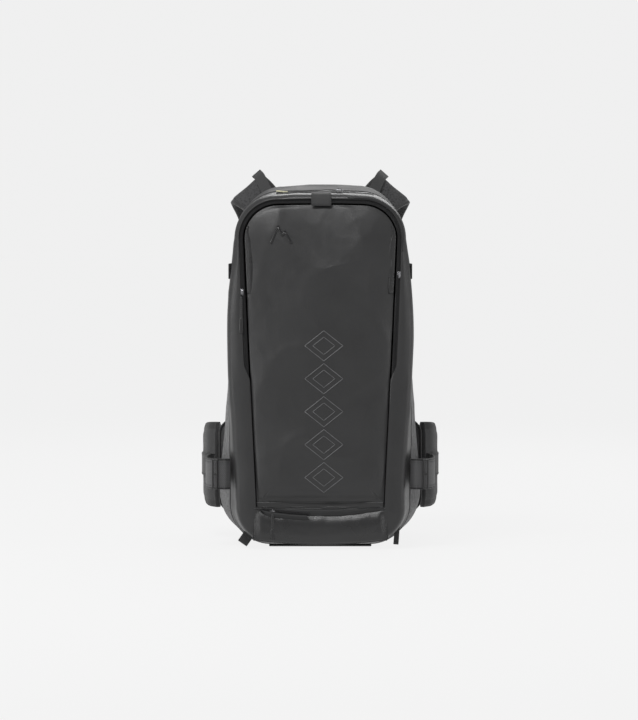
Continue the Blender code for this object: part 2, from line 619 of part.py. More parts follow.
def main():
    for found in list(bpy.data.objects):
        bpy.data.objects.remove(found)
    make_bag_walls()
    make_base_panel()
    make_front_panel()
    make_lower_pocket()
    make_main_zip()
    make_pocket_zip()
    make_goggle_pocket()
    make_top_details()
    make_inside()
    make_back_pads()
    make_shoulder_straps()
    make_sternum_strap()
    make_hip_belt()
    make_ski_carry()
    make_bottom_loops()
    place_origins()
    bpy.context.view_layer.update()
    centre_on_footprint()


main()
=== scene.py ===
"""Looks of the ski backpack: sewn panels, zips, webbing, padded harness and moulded buckles.

Metres, +Z up, front panel towards -Y. Sizes come from the frame's boxes, and a strap's route repeats
the part's own points.
"""

import math
from collections import namedtuple

import bmesh
import bpy
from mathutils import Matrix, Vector, noise
from mathutils.bvhtree import BVHTree


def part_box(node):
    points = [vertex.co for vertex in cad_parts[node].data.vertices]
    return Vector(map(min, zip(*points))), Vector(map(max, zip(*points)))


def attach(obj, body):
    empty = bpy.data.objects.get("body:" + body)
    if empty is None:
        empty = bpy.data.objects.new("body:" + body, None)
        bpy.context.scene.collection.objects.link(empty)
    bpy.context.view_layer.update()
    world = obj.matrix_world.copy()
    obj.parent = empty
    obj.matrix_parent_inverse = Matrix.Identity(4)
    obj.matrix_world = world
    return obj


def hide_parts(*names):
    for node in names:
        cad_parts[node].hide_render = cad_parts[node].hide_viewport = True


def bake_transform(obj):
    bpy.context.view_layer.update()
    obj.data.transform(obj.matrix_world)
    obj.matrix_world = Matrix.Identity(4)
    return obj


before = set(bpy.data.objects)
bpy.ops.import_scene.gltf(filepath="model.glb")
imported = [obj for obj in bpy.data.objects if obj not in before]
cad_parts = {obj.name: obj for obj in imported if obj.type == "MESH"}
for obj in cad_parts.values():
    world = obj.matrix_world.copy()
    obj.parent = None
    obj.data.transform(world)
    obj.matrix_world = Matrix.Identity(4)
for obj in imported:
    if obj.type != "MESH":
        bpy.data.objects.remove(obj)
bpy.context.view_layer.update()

# ---- sizes read from the frame ------------------------------------------------------------------
WINDOW_LOW, WINDOW_HIGH = (c.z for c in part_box("front_panel"))
BACK_WALL_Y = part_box("back_panel")[1].y
SHIFT = BACK_WALL_Y - 0.085  # the part's own points have the back wall at y = 0.085
FRONT_BASE_Y = -0.100 + SHIFT
FRONT_LEAN = 0.070
ROUND_BACK, ROUND_FRONT, SIDE_SEAM = 0.065, 0.90, 0.62
FRONT_INSET, BACK_INSET = 0.005, 0.012
FLAT_FLOOR = 0.70
BOW_SKEW = 1.5
CROWN = 0.0165  # how far the front panel bulges
ZIP_SHOWS_FROM = 0.274  # the frame covers the main zip's tape below this height
FOLD_ROOM = 0.0075  # how far the frame's lower edge lies under the opening, to clear the folding panel

Outline = namedtuple("Outline", "low high half_low half_mid half_high r_low r_high crown")
SIDES_LOW, SIDES_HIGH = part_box("side_gusset")
BACK = Outline(SIDES_LOW.z, SIDES_HIGH.z - 0.003, SIDES_HIGH.x, 0.142, 0.122, 0.074, 0.064, 0.003)
FRONT = Outline(0.0080, 0.547, 0.131, 0.1435, 0.1325, 0.058, 0.066, 0.003)
WINDOW = Outline(0.0700, 0.5330, 0.0990, 0.109, 0.1180, 0.004, 0.052, 0.001)
LEVELS = {"corner": 22, "side": 60, "level": 14}  # points in each stretch of an outline
SIDES = (("left", -1), ("right", 1))


def lerp(a, b, t):
    return a + (b - a) * t


def smoothstep(a, b, v):
    t = min(max((v - a) / (b - a), 0.0), 1.0)
    return t * t * (3 - 2 * t)


def blended(a, b, t):
    return Outline(*(lerp(p, q, t) for p, q in zip(a, b)))


def grown(o, by):
    """The outline moved outwards by a distance, or inwards by a negative one."""
    halves = o.half_low + by, o.half_mid + by, o.half_high + by
    radii = max(o.r_low + by, 0.002), max(o.r_high + by, 0.002)
    return Outline(o.low - by, o.high + by, *halves, *radii, o.crown)


def half_width(o, z):
    t = min(max((z - o.low - o.r_low) / (o.high - o.r_high - o.low - o.r_low), 0.0), 1.0)
    bow = o.half_mid - (o.half_low + o.half_high) / 2
    return lerp(o.half_low, o.half_high, t) + bow * math.sin(math.pi * t**BOW_SKEW)


def outline_ring(o):
    """The outline as a closed ring of (x, z) points, from the middle of the bottom round the +X side."""
    right = [((o.half_low - o.r_low) * i / LEVELS["level"], o.low) for i in range(LEVELS["level"])]
    for i in range(LEVELS["corner"]):
        a = math.radians(-90 + 90 * i / LEVELS["corner"])
        right.append((o.half_low - o.r_low + o.r_low * math.cos(a), o.low + o.r_low + o.r_low * math.sin(a)))
    side_low, side_high = o.low + o.r_low, o.high - o.r_high
    for i in range(LEVELS["side"]):
        z = lerp(side_low, side_high, i / LEVELS["side"])
        right.append((half_width(o, z), z))
    flat = o.half_high - o.r_high
    for i in range(LEVELS["corner"]):
        a = math.radians(90 * i / LEVELS["corner"])
        right.append((flat + o.r_high * math.cos(a), side_high + o.r_high * math.sin(a)))
    for i in range(LEVELS["level"] + 1):
        x = flat * (1 - i / LEVELS["level"])
        right.append((x, o.high + o.crown * (1 - (x / flat) ** 2)))
    return right + [(-x, z) for x, z in reversed(right[1:-1])]


def place(x, y, z, side=1):
    """A point in the part's own coordinates, mirrored for side -1, as a point in the frame."""
    return Vector((x * side, y + SHIFT, z))


def front_y(z):
    return FRONT_BASE_Y + FRONT_LEAN * z


def wall_outline(depth):
    """The outline of the bag's outer face at a share of its depth, from 0 at the back wall to 1 in front."""
    share = (min(max(depth, ROUND_BACK), ROUND_FRONT) - ROUND_BACK) / (ROUND_FRONT - ROUND_BACK)
    o = blended(BACK, FRONT, share)
    if depth <= FLAT_FLOOR:
        o = o._replace(low=BACK.low)
    if depth < ROUND_BACK:
        o = grown(o, -BACK_INSET * (1 - math.sqrt(max(depth, 0) / ROUND_BACK)))._replace(low=BACK.low)
    if depth > ROUND_FRONT:
        o = grown(o, -FRONT_INSET * ((depth - ROUND_FRONT) / (1 - ROUND_FRONT)) ** 2)
    return o


def depth_y(depth, z):
    return lerp(BACK_WALL_Y, front_y(z), depth)


# ---- mesh helpers -------------------------------------------------------------------------------
def finish_mesh(name, mesh, material, body, sharp=40):
    bmesh.ops.recalc_face_normals(mesh, faces=mesh.faces)
    data = bpy.data.meshes.new(name)
    mesh.to_mesh(data)
    mesh.free()
    data.shade_smooth()
    if sharp:
        data.set_sharp_from_angle(angle=math.radians(sharp))
    data.materials.append(material)
    made = bpy.data.objects.new(name, data)
    bpy.context.scene.collection.objects.link(made)
    if body:
        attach(made, body)
    return made


def sheet_mesh(name, rows, material, body, thick=0.0, wrap=False, sharp=60):
    """A surface through rows of points, with UVs in metres. wrap joins each row's ends; thick adds a back."""
    mesh = bmesh.new()
    layer = mesh.loops.layers.uv.new("UVMap")
    verts = [[mesh.verts.new(p) for p in row] for row in rows]
    count = len(rows[0])
    across = [0.0]
    for a, b in zip(rows, rows[1:]):
        across.append(across[-1] + (a[count // 2] - b[count // 2]).length)
    middle = rows[len(rows) // 2]
    along = [0.0]
    for i in range(count):
        along.append(along[-1] + (middle[i] - middle[(i + 1) % count]).length)
    for i, (a, b) in enumerate(zip(verts, verts[1:])):
        for j in range(count if wrap else count - 1):
            k = (j + 1) % count
            face = mesh.faces.new((a[j], a[k], b[k], b[j]))
            (u0, u1), (v0, v1) = along[j : j + 2], across[i : i + 2]
            for loop, uv in zip(face.loops, ((u0, v0), (u1, v0), (u1, v1), (u0, v1))):
                loop[layer].uv = uv
    made = finish_mesh(name, mesh, material, None, sharp)
    if thick:
        solid = made.modifiers.new("thickness", "SOLIDIFY")
        solid.thickness = thick
        solid.offset = -1
    if body:
        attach(made, body)
    return made


def smooth_path(points, steps):
    """Points on a Catmull-Rom curve through the given vectors."""
    ends = [2 * points[0] - points[1], *points, 2 * points[-1] - points[-2]]
    made = []
    for p0, p1, p2, p3 in zip(ends, ends[1:], ends[2:], ends[3:]):
        for i in range(steps):
            t = i / steps
            square = (2 * p0 - 5 * p1 + 4 * p2 - p3) * t**2
            made.append(0.5 * (2 * p1 + (p2 - p0) * t + square + (3 * p1 - p0 - 3 * p2 + p3) * t**3))
    return [*made, points[-1].copy()]


def frames_of(path, across):
    """For each point of a path: the direction along it, its width's direction, and the normal."""
    count = len(path)
    made = []
    for i in range(count):
        along = (path[min(i + 1, count - 1)] - path[max(i - 1, 0)]).normalized()
        side = across[i] if isinstance(across, list) else across
        side = (side - along * side.dot(along)).normalized()
        made.append((along, side, along.cross(side)))
    return made


def swept(name, path, across, section, material, body, sharp=35):
    """A closed solid along a path. section(i, s) gives the ring of (width, height) pairs at point i."""
    mesh = bmesh.new()
    layer = mesh.loops.layers.uv.new("UVMap")
    rings, runs = [], [0.0]
    for i, (point, (_, side, up)) in enumerate(zip(path, frames_of(path, across))):
        ring = section(i, i / (len(path) - 1))
        rings.append([mesh.verts.new(point + side * a + up * b) for a, b in ring])
        if i:
            runs.append(runs[-1] + (point - path[i - 1]).length)
    count = len(rings[0])
    profile = [a for a, _ in section(0, 0.0)]
    for i, (a, b) in enumerate(zip(rings, rings[1:])):
        for j in range(count):
            k = (j + 1) % count
            face = mesh.faces.new((a[j], a[k], b[k], b[j]))
            (u0, u1), v0, v1 = runs[i : i + 2], profile[j], profile[k]
            for loop, uv in zip(face.loops, ((u0, v0), (u0, v1), (u1, v1), (u1, v0))):
                loop[layer].uv = uv
    mesh.faces.new(list(reversed(rings[0])))
    mesh.faces.new(rings[-1])
    return finish_mesh(name, mesh, material, body, sharp)


def flat_section(width, thick, edge=0.0006):
    """The section of flat webbing with softened edges."""
    w, t = width / 2, thick / 2
    under = [(-w, -t + edge), (-w + edge, -t), (w - edge, -t), (w, -t + edge)]
    return under + [(-a, -b) for a, b in under]


def webbing_strap(name, path, across, width, thick, material, body):
    ring = flat_section(width, thick, min(0.0006, thick * 0.35))
    return swept(name, path, across, lambda i, s: ring, material, body)


def ellipse(wide, high, count, turn=0.0):
    angles = [math.tau * k / count + turn for k in range(count)]
    return [(wide * math.cos(a), high * math.sin(a)) for a in angles]


def tube(name, path, radius, material, body, sides=8):
    """A round cord or piping along a path."""
    ring = ellipse(radius, radius, sides)
    along = (path[-1] - path[0]).normalized()
    across = Vector((0, 1, 0)) if abs(along.y) < 0.8 else Vector((1, 0, 0))
    return swept(name, path, across, lambda i, s: ring, material, body, sharp=0)


def stitches(name, path, normals, material, body, length=0.0032, gap=0.0016, radius=0.00035):
    """A row of raised thread stitches along a path, as one piece."""
    runs = [0.0]
    for a, b in zip(path, path[1:]):
        runs.append(runs[-1] + (b - a).length)

    def at(run):
        i = max(j for j in range(len(runs)) if runs[j] <= run)
        i = min(i, len(path) - 2)
        t = (run - runs[i]) / max(runs[i + 1] - runs[i], 1e-9)
        return path[i].lerp(path[i + 1], t), normals[i].lerp(normals[i + 1], t).normalized()

    mesh = bmesh.new()
    run = gap
    while run + length < runs[-1]:
        rings = []
        for s, size, lift in ((0.0, 0.5, -0.3), (0.2, 1.0, 0.4), (0.8, 1.0, 0.4), (1.0, 0.5, -0.3)):
            p, n = at(run + s * length)
            q, _ = at(run + s * length + 0.0002)
            side = (q - p).normalized().cross(n)
            p = p + n * radius * lift
            diamond = ((-1, 0), (0, 1), (1, 0), (0, -1))
            rings.append([mesh.verts.new(p + (side * a + n * b) * radius * size) for a, b in diamond])
        for a, b in zip(rings, rings[1:]):
            for j in range(4):
                mesh.faces.new((a[j], a[(j + 1) % 4], b[(j + 1) % 4], b[j]))
        mesh.faces.new(list(reversed(rings[0])))
        mesh.faces.new(rings[-1])
        run += length + gap
    return finish_mesh(name, mesh, material, body, sharp=0)


# ---- materials ----------------------------------------------------------------------------------
class Shade:
    """A Principled material whose nodes are added one by one."""

    def __init__(self, name, colour, roughness, metallic=0.0, **sockets):
        self.material = bpy.data.materials.new(name)
        self.material.use_nodes = True
        self.tree = self.material.node_tree
        self.shader = self.tree.nodes["Principled BSDF"]
        self.shader.inputs["Base Color"].default_value = (*colour, 1)
        self.shader.inputs["Roughness"].default_value = roughness
        self.shader.inputs["Metallic"].default_value = metallic
        for key, value in sockets.items():
            self.shader.inputs[key.replace("_", " ")].default_value = value
        self.normal = None

    def node(self, kind, **values):
        made = self.tree.nodes.new(kind)
        for key, value in values.items():
            if hasattr(made, key):
                setattr(made, key, value)
            else:
                made.inputs[key.replace("_", " ")].default_value = value
        return made

    def link(self, a, b):
        self.tree.links.new(a, b)

    def place(self, uv=False, scale=(1, 1, 1)):
        source = self.node("ShaderNodeTexCoord").outputs["UV" if uv else "Object"]
        if scale == (1, 1, 1):
            return source
        mapping = self.node("ShaderNodeMapping")
        mapping.inputs["Scale"].default_value = scale
        self.link(source, mapping.inputs["Vector"])
        return mapping.outputs["Vector"]

    def noise(self, scale, detail=2.0, uv=False, stretch=(1, 1, 1)):
        made = self.node("ShaderNodeTexNoise", Scale=scale, Detail=detail)
        self.link(self.place(uv, stretch), made.inputs["Vector"])
        return made.outputs["Fac"]

    def wave(self, scale, direction="X", uv=True, distortion=0.0):
        made = self.node("ShaderNodeTexWave", Scale=scale, Distortion=distortion, bands_direction=direction)
        self.link(self.place(uv), made.inputs["Vector"])
        return made.outputs["Fac"]

    def cells(self, scale, uv=False, stretch=(1, 1, 1)):
        made = self.node("ShaderNodeTexVoronoi", Scale=scale)
        self.link(self.place(uv, stretch), made.inputs["Vector"])
        return made.outputs["Distance"]

    def maths(self, operation, a, b):
        made = self.node("ShaderNodeMath", operation=operation)
        for value, socket in ((a, made.inputs[0]), (b, made.inputs[1])):
            if isinstance(value, (int, float)):
                socket.default_value = value
            else:
                self.link(value, socket)
        return made.outputs[0]

    def ramp(self, fac, stops):
        made = self.node("ShaderNodeValToRGB")
        while len(made.color_ramp.elements) < len(stops):
            made.color_ramp.elements.new(0.5)
        for element, (place, colour) in zip(made.color_ramp.elements, stops):
            element.position = place
            element.color = (*colour, 1) if isinstance(colour, tuple) else (colour, colour, colour, 1)
        self.link(fac, made.inputs["Fac"])
        return made.outputs["Color"]

    def colour(self, fac, *stops):
        self.link(self.ramp(fac, stops), self.shader.inputs["Base Color"])

    def rough(self, fac, low, high):
        self.link(self.ramp(fac, ((0.3, low), (0.7, high))), self.shader.inputs["Roughness"])

    def bump(self, height, distance, strength=1.0):
        made = self.node("ShaderNodeBump", Distance=distance, Strength=strength)
        self.link(height, made.inputs["Height"])
        if self.normal:
            self.link(self.normal, made.inputs["Normal"])
        self.normal = made.outputs["Normal"]
        self.link(self.normal, self.shader.inputs["Normal"])


def grey(value):
    return (value, value, value * 1.03)


def coated_fabric(name="coated_fabric", level=0.017, rough=(0.36, 0.48)):
    """Charcoal cloth with a smooth satin coating: a faint weave, soft creases and slightly uneven gloss."""
    s = Shade(name, grey(level), 0.45)
    s.shader.inputs["Specular IOR Level"].default_value = 0.5
    s.colour(s.noise(9, 3), (0.35, grey(level * 0.92)), (0.7, grey(level * 1.10)))
    s.rough(s.noise(22, 3), *rough)
    s.bump(s.noise(14, 3), 0.0022, 0.55)
    s.bump(s.noise(70, 2, stretch=(1, 1, 0.55)), 0.0004, 0.4)
    s.bump(s.maths("ADD", s.wave(900, "X"), s.wave(900, "Y")), 0.00006, 0.35)
    return s.material


def heather_fabric(name="heather_fabric", low=0.020, high=0.115):
    """Grey melange: pale and dark yarns mixed in short strokes both ways, with a visible plain weave."""
    s = Shade(name, grey(0.08), 0.9)
    s.shader.inputs["Sheen Weight"].default_value = 0.25
    warp = s.noise(260, 3, stretch=(1, 1, 0.22))
    weft = s.noise(260, 3, stretch=(0.22, 0.22, 1))
    mixed = s.maths("MULTIPLY", s.maths("ADD", warp, weft), 0.5)
    s.colour(mixed, (0.38, grey(low)), (0.50, grey((low + high) * 0.42)), (0.62, grey(high)))
    s.bump(s.maths("ADD", s.wave(380, "X"), s.wave(380, "Y")), 0.00018, 0.6)
    s.bump(s.noise(10, 2), 0.0015, 0.4)
    return s.material


def webbing_fabric(name="webbing", level=0.014):
    """Woven nylon tape: a herringbone of ribs, each rib's crown painted paler and its grooves darker, as painted
    highlight and painted shade.
    """
    s = Shade(name, grey(level), 0.72)
    s.shader.inputs["Sheen Weight"].default_value = 0.15
    ribs = s.wave(210, "DIAGONAL")
    rows = s.wave(150, "Y")
    both = s.maths("MULTIPLY", ribs, rows)
    # colour follows the ribs' relief: painted highlight on the crowns, painted shade in the grooves
    s.colour(both, (0.0, grey(level * 0.6)), (0.6, grey(level * 1.9)))
    s.bump(both, 0.0003, 0.8)
    return s.material


def mesh_fabric(name="spacer_mesh", level=0.022, scale=330):
    """Knitted spacer mesh: rows of small open cells, each painted dark in its middle as shade in the hole."""
    s = Shade(name, grey(level), 0.95)
    cell = s.cells(scale)
    # the cell middles, sunk by the bump, are painted near black: painted shade in the holes
    s.colour(cell, (0.15, grey(level * 0.25)), (0.5, grey(level * 1.8)))
    s.bump(cell, 0.0006, 0.9)
    return s.material


def foam_fabric(name="harness_cloth", level=0.022):
    """The dense cloth over the harness foam."""
    s = Shade(name, grey(level), 0.88)
    s.shader.inputs["Sheen Weight"].default_value = 0.2
    s.colour(s.noise(700, 2), (0.35, grey(level * 0.6)), (0.65, grey(level * 1.5)))
    s.bump(s.maths("ADD", s.wave(480, "X"), s.wave(480, "Y")), 0.00012, 0.7)
    s.bump(s.noise(26, 2), 0.0008, 0.4)
    return s.material


def moulded_plastic(name="moulded_plastic", level=0.012):
    """Spark-eroded black acetal, polished a little where hands touch it."""
    s = Shade(name, grey(level), 0.38)
    s.rough(s.noise(60, 3), 0.30, 0.46)
    s.colour(s.noise(35, 2), (0.3, grey(level * 0.85)), (0.7, grey(level * 1.25)))
    s.bump(s.noise(1600, 2), 0.00005, 0.35)
    return s.material


def zip_metal():
    """Dark plated die-cast zinc with pale worn edges."""
    s = Shade("zip_metal", (0.20, 0.20, 0.21), 0.32, 1.0)
    s.colour(s.noise(300, 3), (0.35, (0.10, 0.10, 0.105)), (0.70, (0.42, 0.42, 0.44)))
    s.rough(s.noise(500, 2), 0.22, 0.42)
    return s.material


def plain(name, colour, rough, grain=900, depth=0.00008, metallic=0.0, spread=0.15):
    """A simple finish with slight variation and a fine grain."""
    s = Shade(name, colour, rough, metallic)
    dark = tuple(c * (1 - spread) for c in colour)
    pale = tuple(c * (1 + spread) for c in colour)
    s.colour(s.noise(grain * 0.2, 2), (0.35, dark), (0.65, pale))
    s.bump(s.noise(grain, 2), depth, 0.6)
    return s.material


COATED = coated_fabric()
COATED_GLOSS = coated_fabric("coated_gloss", 0.016, (0.24, 0.34))
DARK_CLOTH = coated_fabric("top_cloth", 0.015, (0.58, 0.70))
HEATHER = heather_fabric()
WEBBING = webbing_fabric()
STRAP = webbing_fabric("strap_panel", 0.055)
MESH = mesh_fabric()
CLOTH = foam_fabric()
BINDING = foam_fabric("binding_tape", 0.009)
PLASTIC = moulded_plastic()
METAL = zip_metal()
ZIP_TAPE = plain("zip_tape", (0.006, 0.006, 0.0065), 0.62, 1400)
COIL = plain("zip_coil", (0.010, 0.010, 0.011), 0.35, 600)
THREAD = plain("thread", (0.030, 0.030, 0.031), 0.7, 2000)
PIPING = plain("piping", (0.007, 0.007, 0.0075), 0.5, 800)
LABEL = plain("label_fabric", (0.45, 0.43, 0.30), 0.85, 1500)
PRINT = plain("raised_print", (0.0045, 0.0045, 0.005), 0.30, 700)
OUTLINE_PRINT = plain("outline_print", (0.080, 0.080, 0.083), 0.45, 700)


# ---- camera, light and floor --------------------------------------------------------------------
CAMERA_DISTANCE = 5.8  # from the front plane: the photo is nearly without perspective
VIEW_HEIGHT = 1.116
BACKDROP, AMBIENT = 0.87, 0.42  # brightness of the backdrop, and of the light that comes from it
AIM = Vector((-0.002, 0.0, 0.293))
ELEVATION = math.radians(2.4)  # the top panel just shows


def make_camera():
    data = bpy.data.cameras.new("camera")
    data.sensor_width = 36.0
    data.lens = 36.0 * CAMERA_DISTANCE / VIEW_HEIGHT
    data.clip_end = 50
    made = bpy.data.objects.new("camera", data)
    back = CAMERA_DISTANCE * math.cos(ELEVATION)
    made.location = (AIM.x, front_y(AIM.z) - back, AIM.z + CAMERA_DISTANCE * math.sin(ELEVATION))
    made.rotation_euler = (math.radians(90) - ELEVATION, 0, 0)
    bpy.context.scene.collection.objects.link(made)
    bpy.context.scene.camera = made


def make_light(name, place, size, power, aim=Vector((0, -0.05, 0.3))):
    data = bpy.data.lights.new(name, "AREA")
    data.shape = "RECTANGLE"
    data.size, data.size_y = size
    data.energy = power
    made = bpy.data.objects.new(name, data)
    made.location = place
    made.rotation_euler = (aim - Vector(place)).to_track_quat("-Z", "Y").to_euler()
    bpy.context.scene.collection.objects.link(made)


def make_studio():
    """A pale seamless room: the camera sees an even backdrop, and softer light falls on the object."""
    world = bpy.data.worlds.new("studio")
    world.use_nodes = True
    tree = world.node_tree
    shade = tree.nodes["Background"]
    shade.inputs["Color"].default_value = (1, 1, 1, 1)
    seen = tree.nodes.new("ShaderNodeLightPath")
    strength = tree.nodes.new("ShaderNodeMapRange")
    strength.inputs["To Min"].default_value = AMBIENT
    strength.inputs["To Max"].default_value = BACKDROP
    tree.links.new(seen.outputs["Is Camera Ray"], strength.inputs["Value"])
    tree.links.new(strength.outputs["Result"], shade.inputs["Strength"])
    bpy.context.scene.world = world
    bpy.context.scene.view_settings.view_transform = "Standard"
    make_light("key_above", (-0.7, -1.5, 2.4), (1.0, 0.6), 44)
    make_light("side_left", (-2.0, -0.9, 0.9), (0.4, 1.5), 14)
    make_light("side_right", (2.0, -0.6, 0.9), (0.5, 1.6), 9)
    make_light("back_above", (0.5, 2.0, 1.8), (1.8, 1.0), 22)
    mesh = bmesh.new()
    bmesh.ops.create_grid(mesh, x_segments=1, y_segments=1, size=30.0)
    floor = finish_mesh("studio_floor", mesh, floor_material(), None)


def floor_material():
    """A floor that glows, so that it is as bright as the backdrop and takes only a faint shadow."""
    s = Shade("studio_floor", (0.05, 0.05, 0.05), 1.0)
    s.shader.inputs["Specular IOR Level"].default_value = 0.0
    s.shader.inputs["Emission Color"].default_value = (1, 1, 1, 1)
    s.shader.inputs["Emission Strength"].default_value = BACKDROP - 0.021
    return s.material


# ---- the bag's surfaces -------------------------------------------------------------------------
def crease(point, size=0.0016, scale=11.0):
    """Soft, slanting fabric creases: a ridged noise that is longer one way than the other."""
    p = Vector((point.x * 0.7 + point.z * 0.8, point.y, point.z * 0.5 - point.x * 0.9)) * scale
    ridge = 1 - abs(noise.noise(p * 1.3 + Vector((3.1, 0, 7.7))))
    return size * (0.55 * noise.noise(p) + 0.6 * ridge**4)


def outward(row):
    """For each point of a ring round the bag, the outward direction in the x-z plane."""
    count = len(row)
    made = []
    for j in range(count):
        d = row[(j + 1) % count] - row[j - 1]
        made.append(Vector((d.z, 0, -d.x)).normalized())
    return made


def wall_row(depth, lift=0.0, crumple=1.0):
    """The bag's outline at a share of its depth, with creases."""
    row = [Vector((x, depth_y(depth, z), z)) for x, z in outline_ring(wall_outline(depth))]
    made = []
    for p, n in zip(row, outward(row)):
        standing = smoothstep(0.004, 0.05, p.z)  # the floor stays flat
        made.append(p + n * (lift * max(standing, 0.1) + crumple * standing * crease(p)))
    return made


def front_edge(out):
    """The frame's folded edge, out in front: over the zip's tape low down, and outside it higher up."""
    made = []
    for (xw, zw), (xt, zt) in zip(outline_ring(grown(WINDOW, 0.0084)), outline_ring(grown(WINDOW, 0.0002))):
        t = smoothstep(ZIP_SHOWS_FROM - 0.014, ZIP_SHOWS_FROM + 0.014, zt)
        x, z = lerp(xt, xw, t), lerp(zt, zw, t)
        z -= FOLD_ROOM * (1 - smoothstep(WINDOW.low, WINDOW.low + 0.008, z))
        made.append(Vector((x, front_y(z) - out, z)))
    return made


def make_front_frame():
    """The coated band round the front, from the sides round to a folded edge beside the zip."""
    rows = []
    steps = 16
    for i in range(steps + 1):
        t = i / steps
        dip = 0.0022 * (1 - smoothstep(0, 0.07, t))
        rows.append(wall_row(lerp(SIDE_SEAM + 0.002, 0.97, t), 0.0009 - dip))
    rim = wall_row(0.992, 0.0, 0.5)
    edge = front_edge(0.0030)
    for t in (0.0, 0.12, 0.3, 0.5, 0.7, 0.88, 0.97):
        row = []
        for a, b in zip(rim, edge):
            p = a.lerp(b, t)
            bulge = 0.0022 * math.sin(math.pi * t) + 0.0022 * smoothstep(0.1, 0.9, t) * 0.5
            row.append(p + Vector((0, -bulge - 0.6 * crease(p), 0)))
        rows.append(row)
    rows.append([p + Vector((0, 0.0006, 0)) for p in edge])
    rows.append([p + Vector((0, 0.0022, 0)) for p in edge])
    made = sheet_mesh("front_frame_cloth", rows, COATED, "bag", wrap=True, thick=0.0011)
    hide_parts("front_frame")


def side_pocket_z(y):
    """Height of the heather side pocket's slanting upper edge: low at the front and high at the back."""
    return lerp(0.300, 0.372, smoothstep(front_y(0.3) * 0.6, BACK_WALL_Y, y))


def side_point(depth, z, lift, side):
    x = half_width(wall_outline(depth), z) + lift
    return Vector((x * side, depth_y(depth, z), z))


def make_side_pocket_edges():
    """The elastic binding along the upper edge of each heather side pocket."""
    for name, side in SIDES:
        path, normals = [], []
        for i in range(31):
            depth = lerp(0.040, SIDE_SEAM - 0.004, i / 30)
            z = side_pocket_z(depth_y(depth, 0.33))
            path.append(side_point(depth, z, 0.0022, side))
            normals.append(Vector((side, 0, 0)))
        made = webbing_strap(f"side_pocket_edge_{name}", path, Vector((0, 0, 1)), 0.014, 0.0016, BINDING, "bag")
        line = [p + Vector((side * 0.0009, 0, -0.0045)) for p in path]
        stitches(f"side_pocket_stitch_{name}", line, normals, THREAD, "bag")


def make_sides():
    """The heather sides, in two panels that meet in a raised seam, with a bound edge at each end."""
    rows = []
    steps = 26
    for i in range(steps + 1):
        t = i / steps
        dip = 0.0022 * (1 - smoothstep(0, 0.045, t)) + 0.0022 * (1 - smoothstep(0, 0.045, 1 - t))
        rows.append(wall_row(lerp(0.042, SIDE_SEAM - 0.003, t), 0.0014 - dip, 1.3))
    made = sheet_mesh("side_cloth", rows, HEATHER, "bag", wrap=True, thick=0.0012)
    made.data.materials.append(DARK_CLOTH)
    for polygon in made.data.polygons:
        polygon.material_index = 1 if polygon.center.z > side_pocket_z(polygon.center.y) else 0
    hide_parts("side_gusset")
    for name, depth, radius in (("side_seam_piping", SIDE_SEAM, 0.0013), ("back_seam_piping", 0.036, 0.0019)):
        ring = wall_row(depth, 0.0002)
        rows = []
        for k in range(7):
            back, out = radius * math.cos(math.tau * k / 6), radius * math.sin(math.tau * k / 6)
            rows.append([p + n * out + Vector((0, back, 0)) for p, n in zip(ring, outward(ring))])
        sheet_mesh(name, rows, PIPING, "bag", wrap=True, sharp=0)


def make_back_wall():
    """The mesh-covered back wall, behind the pads."""
    rows = []
    for t in (0.0, 0.35, 0.8, 1.0):
        rows.append(wall_row(0.033 * (1 - t), -0.0008, 0.3))
    middle = (BACK.low + BACK.high) / 2
    rim = rows[-1]
    for t in (0.06, 0.18, 0.36, 0.55, 0.75, 0.92, 0.985):
        rows.append([Vector((lerp(p.x, 0, t), BACK_WALL_Y - 0.0002, lerp(p.z, middle, t * t))) for p in rim])
    made = sheet_mesh("back_cloth", rows, MESH, "bag", wrap=True, thick=0.0015)
    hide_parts("back_panel")


def panel_rise(inset, top_share):
    """How far the front panel stands out at a distance in from its edge: quickly at first, then nearly flat."""
    swell = 1 - math.exp(-inset / lerp(0.026, 0.042, top_share))
    return CROWN * (0.90 * swell + 0.10 * smoothstep(0.03, 0.10, inset)) * lerp(1.0, 0.95, top_share)


def panel_y(x, z):
    """The front panel's surface at (x, z)."""
    side = half_width(WINDOW, z) - abs(x)
    flat = WINDOW.half_high - WINDOW.r_high
    top = WINDOW.high + 0.001 - z
    corner_z = WINDOW.high - WINDOW.r_high
    if z > corner_z and abs(x) > flat:
        inset = WINDOW.r_high - math.hypot(abs(x) - flat, z - corner_z)
    else:
        inset = min(side, top) if z > corner_z else min(side, max(top, WINDOW.r_high))
    bottom = z - WINDOW.low
    k = 0.018  # blends the insets, so that no ridge runs along the diagonals
    inset = max(inset, 0.0)
    bottom = max(bottom, 0.0)
    both = -k * math.log(math.exp(-inset / k) + math.exp(-bottom * 1.3 / k)) if inset > 0 else 0.0
    both = max(min(both, inset, bottom * 1.3), 0.0)
    return front_y(z) - 0.0012 - panel_rise(both, smoothstep(0.3, 0.5, z))


def pleats(x, z):
    """The fine level gathers along the panel's lower edge."""
    up = z - WINDOW.low
    band = smoothstep(0.001, 0.006, up) * (1 - smoothstep(0.014, 0.030, up))
    return 0.0009 * band * math.sin(z / 0.0042 * math.tau + 1.5 * noise.noise(Vector((x * 26, 0, z * 60))))


def slanting_folds(x, z):
    """Two or three long, shallow folds that run up from the lower left to the right, as the cloth hangs."""
    rise = 0.0
    folds = ((-0.050, 0.165, 0.050, 0.0016), (-0.062, 0.300, 0.045, 0.0012), (0.058, 0.250, 0.055, 0.0013))
    for x0, z0, reach, size in folds:
        across = (z - z0) - 0.55 * (x - x0)
        along = (x - x0) + 0.55 * (z - z0)
        rise += size * math.exp(-((across / 0.0085) ** 2)) * math.exp(-((along / reach) ** 2))
    return rise


def panel_wrinkles(p):
    """How far the panel's cloth stands out from its smooth shape."""
    fine = 0.5 * crease(p + Vector((9, 9, 9)), 0.0016, 24)
    return crease(p, 0.0034, 8.5) + fine + pleats(p.x, p.z) + slanting_folds(p.x, p.z)


